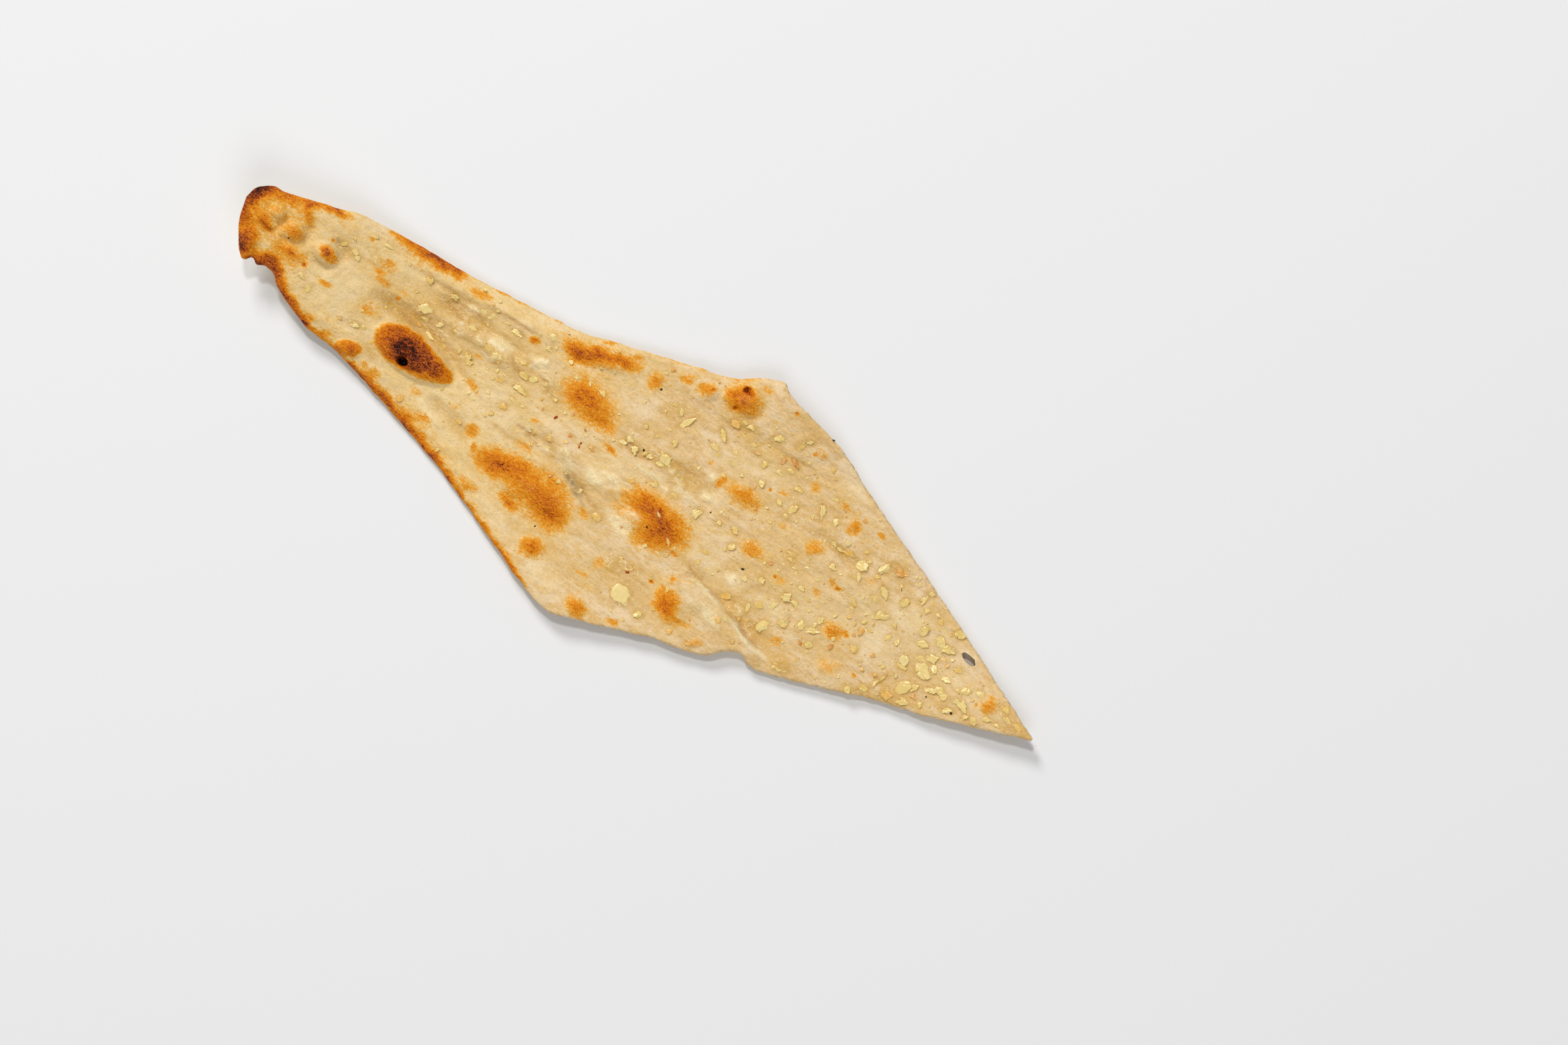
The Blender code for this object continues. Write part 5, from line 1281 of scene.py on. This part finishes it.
def makeBreadMaterial(obj, look):
    tree, shader = newMaterial("bakedBread", obj)
    patterns = {name: grain(tree, *values) for name, values in look["grains"].items()}
    patterns["bubbly"] = bubbly = cellDistance(tree, *look["blisterCells"])
    cloud, fine, smear = patterns["cloud"], patterns["fine"], patterns["smear"]
    fibred = spread(tree, patterns["fibre"], 0.34, 0.58, 0.2, 1.0)
    base = mixColour(tree, fibred, look["shaded"], look["plain"])
    base = layColours(tree, base, patterns, look["mottling"], look)
    base = mixColour(tree, times(tree, attribute(tree, "fair"), 0.4), base, look["fair"])
    # soaked butter, and the painted shade that the same mask carries
    soakedAndShaded = times(tree, attribute(tree, "oilAndShade"), spread(tree, cloud, 0.3, 0.6, 0.6, 1.0))
    base = mixColour(tree, times(tree, soakedAndShaded, 0.95, clamp=True), base, look["soakedAndShaded"])
    # pale floury skin, and painted highlights on the butter
    flouryAndHighlight = times(tree, attribute(tree, "flourAndHighlight"), spread(tree, fine, 0.3, 0.65, 0.45, 1.0))
    base = mixColour(tree, times(tree, flouryAndHighlight, 0.85), base, look["flouryAndHighlight"])
    chalkyAndHighlight = times(tree, flouryAndHighlight, spread(tree, smear, 0.48, 0.62))
    base = mixColour(tree, times(tree, chalkyAndHighlight, 0.55, clamp=True), base, look["chalkAndHighlight"])

    # the wet skin is wrinkled, with painted shade in its creases and a painted highlight on its ridges
    film = attribute(tree, "wet")
    moist = plus(tree, times(tree, soakedAndShaded, 0.8), film, clamp=True)
    moist = times(tree, moist, spread(tree, cloud, 0.42, 0.56))
    shadedCreases = lines(tree, patterns["wrinkle"], 0.46, 0.035)
    ridged = times(tree, lines(tree, patterns["wrinkle"], 0.53, 0.04), moist)
    # painted shade in the wrinkles' creases
    base = mixColour(tree, times(tree, shadedCreases, moist, 0.32), base, look["creaseShade"])
    # painted highlight on the wrinkles' ridges
    base = mixColour(tree, times(tree, ridged, 0.45), base, look["shine"])
    # painted shade along the dark creases
    base = mixColour(tree, times(tree, attribute(tree, "veinShade"), 0.6), base, look["creaseShade"])
    base = layColours(tree, base, patterns, look["freckles"], look)

    # browning, broken up into fine blisters
    toasting = attribute(tree, "toast")
    broken = plus(tree, *(
        times(tree, calc(tree, "SUBTRACT", patterns[name], middle), weight)
        for name, middle, weight in look["breaking"]
    ))
    broken = times(tree, broken, spread(tree, toasting, 0.0, 0.3, 0.25, 1.0))
    level = plus(tree, toasting, broken, clamp=True)
    browned = colourRamp(tree, level, look["toastStops"])
    colour = mixColour(tree, spread(tree, level, 0.03, 0.26), base, browned)

    # painted highlights along thin wrinkles and the flap's lip, and thin soot over them
    wires = plus(tree, times(tree, lines(tree, patterns["wiry"], 0.5, 0.09), 0.65), 0.3)
    patterns["gleam"] = gleam = times(tree, attribute(tree, "gleam"), wires, clamp=True)
    colour = mixColour(tree, times(tree, gleam, 0.75), colour, look["shine"])
    colour = mixColour(tree, times(tree, attribute(tree, "lip"), 0.6), colour, look["shine"])
    smudged = times(tree, attribute(tree, "soot"), spread(tree, smear, 0.36, 0.56, 0.3, 1.0))
    colour = mixColour(tree, smudged, colour, look["soot"])

    # cut edge and underside
    porous = spread(tree, patterns["pores"], 0.4, 0.6)
    crumbColour = mixColour(tree, porous, look["crumbPore"], look["crumbPale"])
    colour = mixColour(tree, attribute(tree, "crumb"), colour, crumbColour)
    spotted = times(tree, spread(tree, patterns["spots"], 0.55, 0.72), spread(tree, fine, 0.3, 0.7, 0.6, 1.0))
    underColour = mixColour(tree, times(tree, spotted, 0.85), base, look["underBrown"])
    colour = mixColour(tree, attribute(tree, "below"), colour, underColour)
    tree.links.new(colour, shader.inputs["Base Color"])

    # how it shines
    setInputs(shader, look["surface"])
    glossy = plus(tree, soakedAndShaded, film, times(tree, level, 0.6), clamp=True)
    tree.links.new(spread(tree, glossy, 0.05, 0.85, 0.6, 0.3), shader.inputs["Roughness"])
    charred = spread(tree, level, 0.4, 0.75, 0.08, 0.3)
    shine = plus(tree, times(tree, soakedAndShaded, 0.5), charred, times(tree, gleam, 0.5))
    shine = times(tree, shine, spread(tree, level, 0.72, 0.95, 1.0, 0.6))
    tree.links.new(plus(tree, shine, times(tree, film, 0.45), clamp=True), shader.inputs["Coat Weight"])
    tree.links.new(spread(tree, film, 0.0, 0.8, 0.2, 0.15), shader.inputs["Coat Roughness"])

    # fine relief of the skin, and of the butter over it
    height = plus(tree, *(times(tree, patterns[name], weight) for name, weight in look["bumps"]))
    height = plus(tree, height, times(tree, ridged, 0.2), times(tree, bubbly, times(tree, level, -1.3)))
    skin = addBump(tree, height, spread(tree, film, 0.0, 1.0, 0.8, 0.4), look["bumpDepth"])
    tree.links.new(skin, shader.inputs["Normal"])
    rippled = times(tree, fine, times(tree, moist, 2.0))
    blistered = times(tree, bubbly, times(tree, level, -1.2))
    waxy = plus(tree, height, plus(tree, rippled, blistered))
    tree.links.new(addBump(tree, waxy, 0.7, look["bumpDepth"]), shader.inputs["Coat Normal"])


garlicLook = {
    "tones": (
        (0.0, tint(242, 218, 150)), (0.12, tint(236, 207, 128)), (0.33, tint(226, 190, 96)),
        (0.48, tint(232, 176, 74)), (0.68, tint(214, 136, 34)), (1.0, tint(182, 86, 12)),
    ),
    "paleFlesh": tint(244, 224, 164),
    "luck": 0.15,  # how much each piece's tone differs by chance
    "grain": (700, 3, 0.5),
    "bump": (0.5, 0.0002),
    "surface": {
        "Roughness": 0.36, "Subsurface Weight": 0.2, "Subsurface Radius": (0.8, 0.8, 0.5),
        "Subsurface Scale": 0.0005, "Coat Weight": 0.45, "Coat Roughness": 0.2,
    },
}


def makeGarlicMaterial(obj, look):
    tree, shader = newMaterial("cookedGarlic", obj)
    flesh = grain(tree, *look["grain"])
    tone = plus(tree, attribute(tree, "tone"), times(tree, attribute(tree, "luck"), look["luck"]), clamp=True)
    colour = colourRamp(tree, tone, look["tones"])
    colour = mixColour(tree, spread(tree, flesh, 0.35, 0.7, 0.0, 0.35), colour, look["paleFlesh"])
    tree.links.new(colour, shader.inputs["Base Color"])
    setInputs(shader, look["surface"])
    tree.links.new(addBump(tree, flesh, *look["bump"]), shader.inputs["Normal"])


butterLook = {
    "grain": (600, 2, 0.5),
    "bump": (0.4, 0.0003),
    "surface": {
        "Base Color": tint(240, 208, 112), "Alpha": 0.3, "Roughness": 0.12, "Specular IOR Level": 1.0,
        "Coat Weight": 1.0, "Coat Roughness": 0.08,
    },
}


def makeButterMaterial(obj, look):
    tree, shader = newMaterial("meltedButter", obj)
    setInputs(shader, look["surface"])
    normal = addBump(tree, grain(tree, *look["grain"]), *look["bump"])
    tree.links.new(normal, shader.inputs["Normal"])
    tree.links.new(normal, shader.inputs["Coat Normal"])


# dark and light tone
fleckLook = {
    "chilliSkin": (tint(124, 40, 8), tint(190, 84, 20)),
    "burntHerb": (tint(22, 20, 8), tint(64, 54, 24)),
    "grain": 2500,
    "surface": {"Roughness": 0.6, "Specular IOR Level": 0.12},
}


def makeFleckMaterial(name, obj, look):
    tree, shader = newMaterial(name, obj)
    colour = mixColour(tree, spread(tree, grain(tree, look["grain"]), 0.35, 0.65), *look[name])
    tree.links.new(colour, shader.inputs["Base Color"])
    setInputs(shader, look["surface"])


makeBreadMaterial(naan, breadLook)
for piece in (garlicChips, garlicCrumbs):
    makeGarlicMaterial(piece, garlicLook)
makeButterMaterial(butterBeads, butterLook)
makeFleckMaterial("chilliSkin", chilliFlecks, fleckLook)
makeFleckMaterial("burntHerb", herbFlecks, fleckLook)
print("materials made")

studio = {
    "floorSize": 8,  # metres, as the lights are
    "floorSurface": {"Base Color": (0.82, 0.82, 0.822, 1), "Roughness": 0.9},
    "world": {"Color": (1, 1, 1, 1), "Strength": 0.26},
    # name, place, size, power
    "lights": (
        ("keyLight", (-1.7, 1.2, 1.7), 0.8, 40.0),
        ("highLight", (-0.8, 0.9, 2.6), 0.3, 22.0),
        ("fillLight", (1.2, -1.4, 2.2), 2.0, 20.0),
    ),
    "cameraOver": (42.96, 13.72),  # the point of the bread's plane in the middle of the picture
    "cameraTurn": 34.9,
    "frameWidth": 459.8,
    "plane": 5,  # height of the bread's plane over the floor
    "lens": 135,
    "sensor": 36,
}
bpy.ops.object.select_all(action="DESELECT")
bpy.ops.mesh.primitive_plane_add(size=studio["floorSize"], location=(0, 0, 0))
floor = bpy.context.object
floor.name = "floor"
setInputs(newMaterial("paleFloor", floor)[1], studio["floorSurface"])

world = bpy.data.worlds.new("softRoom")
bpy.context.scene.world = world
world.use_nodes = True
setInputs(world.node_tree.nodes["Background"], studio["world"])

for name, location, size, power in studio["lights"]:
    bpy.ops.object.light_add(type="AREA", location=location)
    light = bpy.context.object
    light.name = name
    light.data.shape = "DISK"
    light.data.size = size
    light.data.energy = power
    light.rotation_euler = (-Vector(location)).to_track_quat("-Z", "Y").to_euler()

distance = studio["frameWidth"] * studio["lens"] / studio["sensor"]
bpy.ops.object.camera_add(
    location=(studio["cameraOver"][0] * mm, studio["cameraOver"][1] * mm, (distance + studio["plane"]) * mm),
    rotation=(0, 0, math.radians(studio["cameraTurn"])),
)
camera = bpy.context.object
camera.data.lens = studio["lens"]
camera.data.sensor_width = studio["sensor"]
camera.data.clip_end = 20
bpy.context.scene.camera = camera
bpy.context.scene.view_settings.view_transform = "Standard"
print("studio ready")
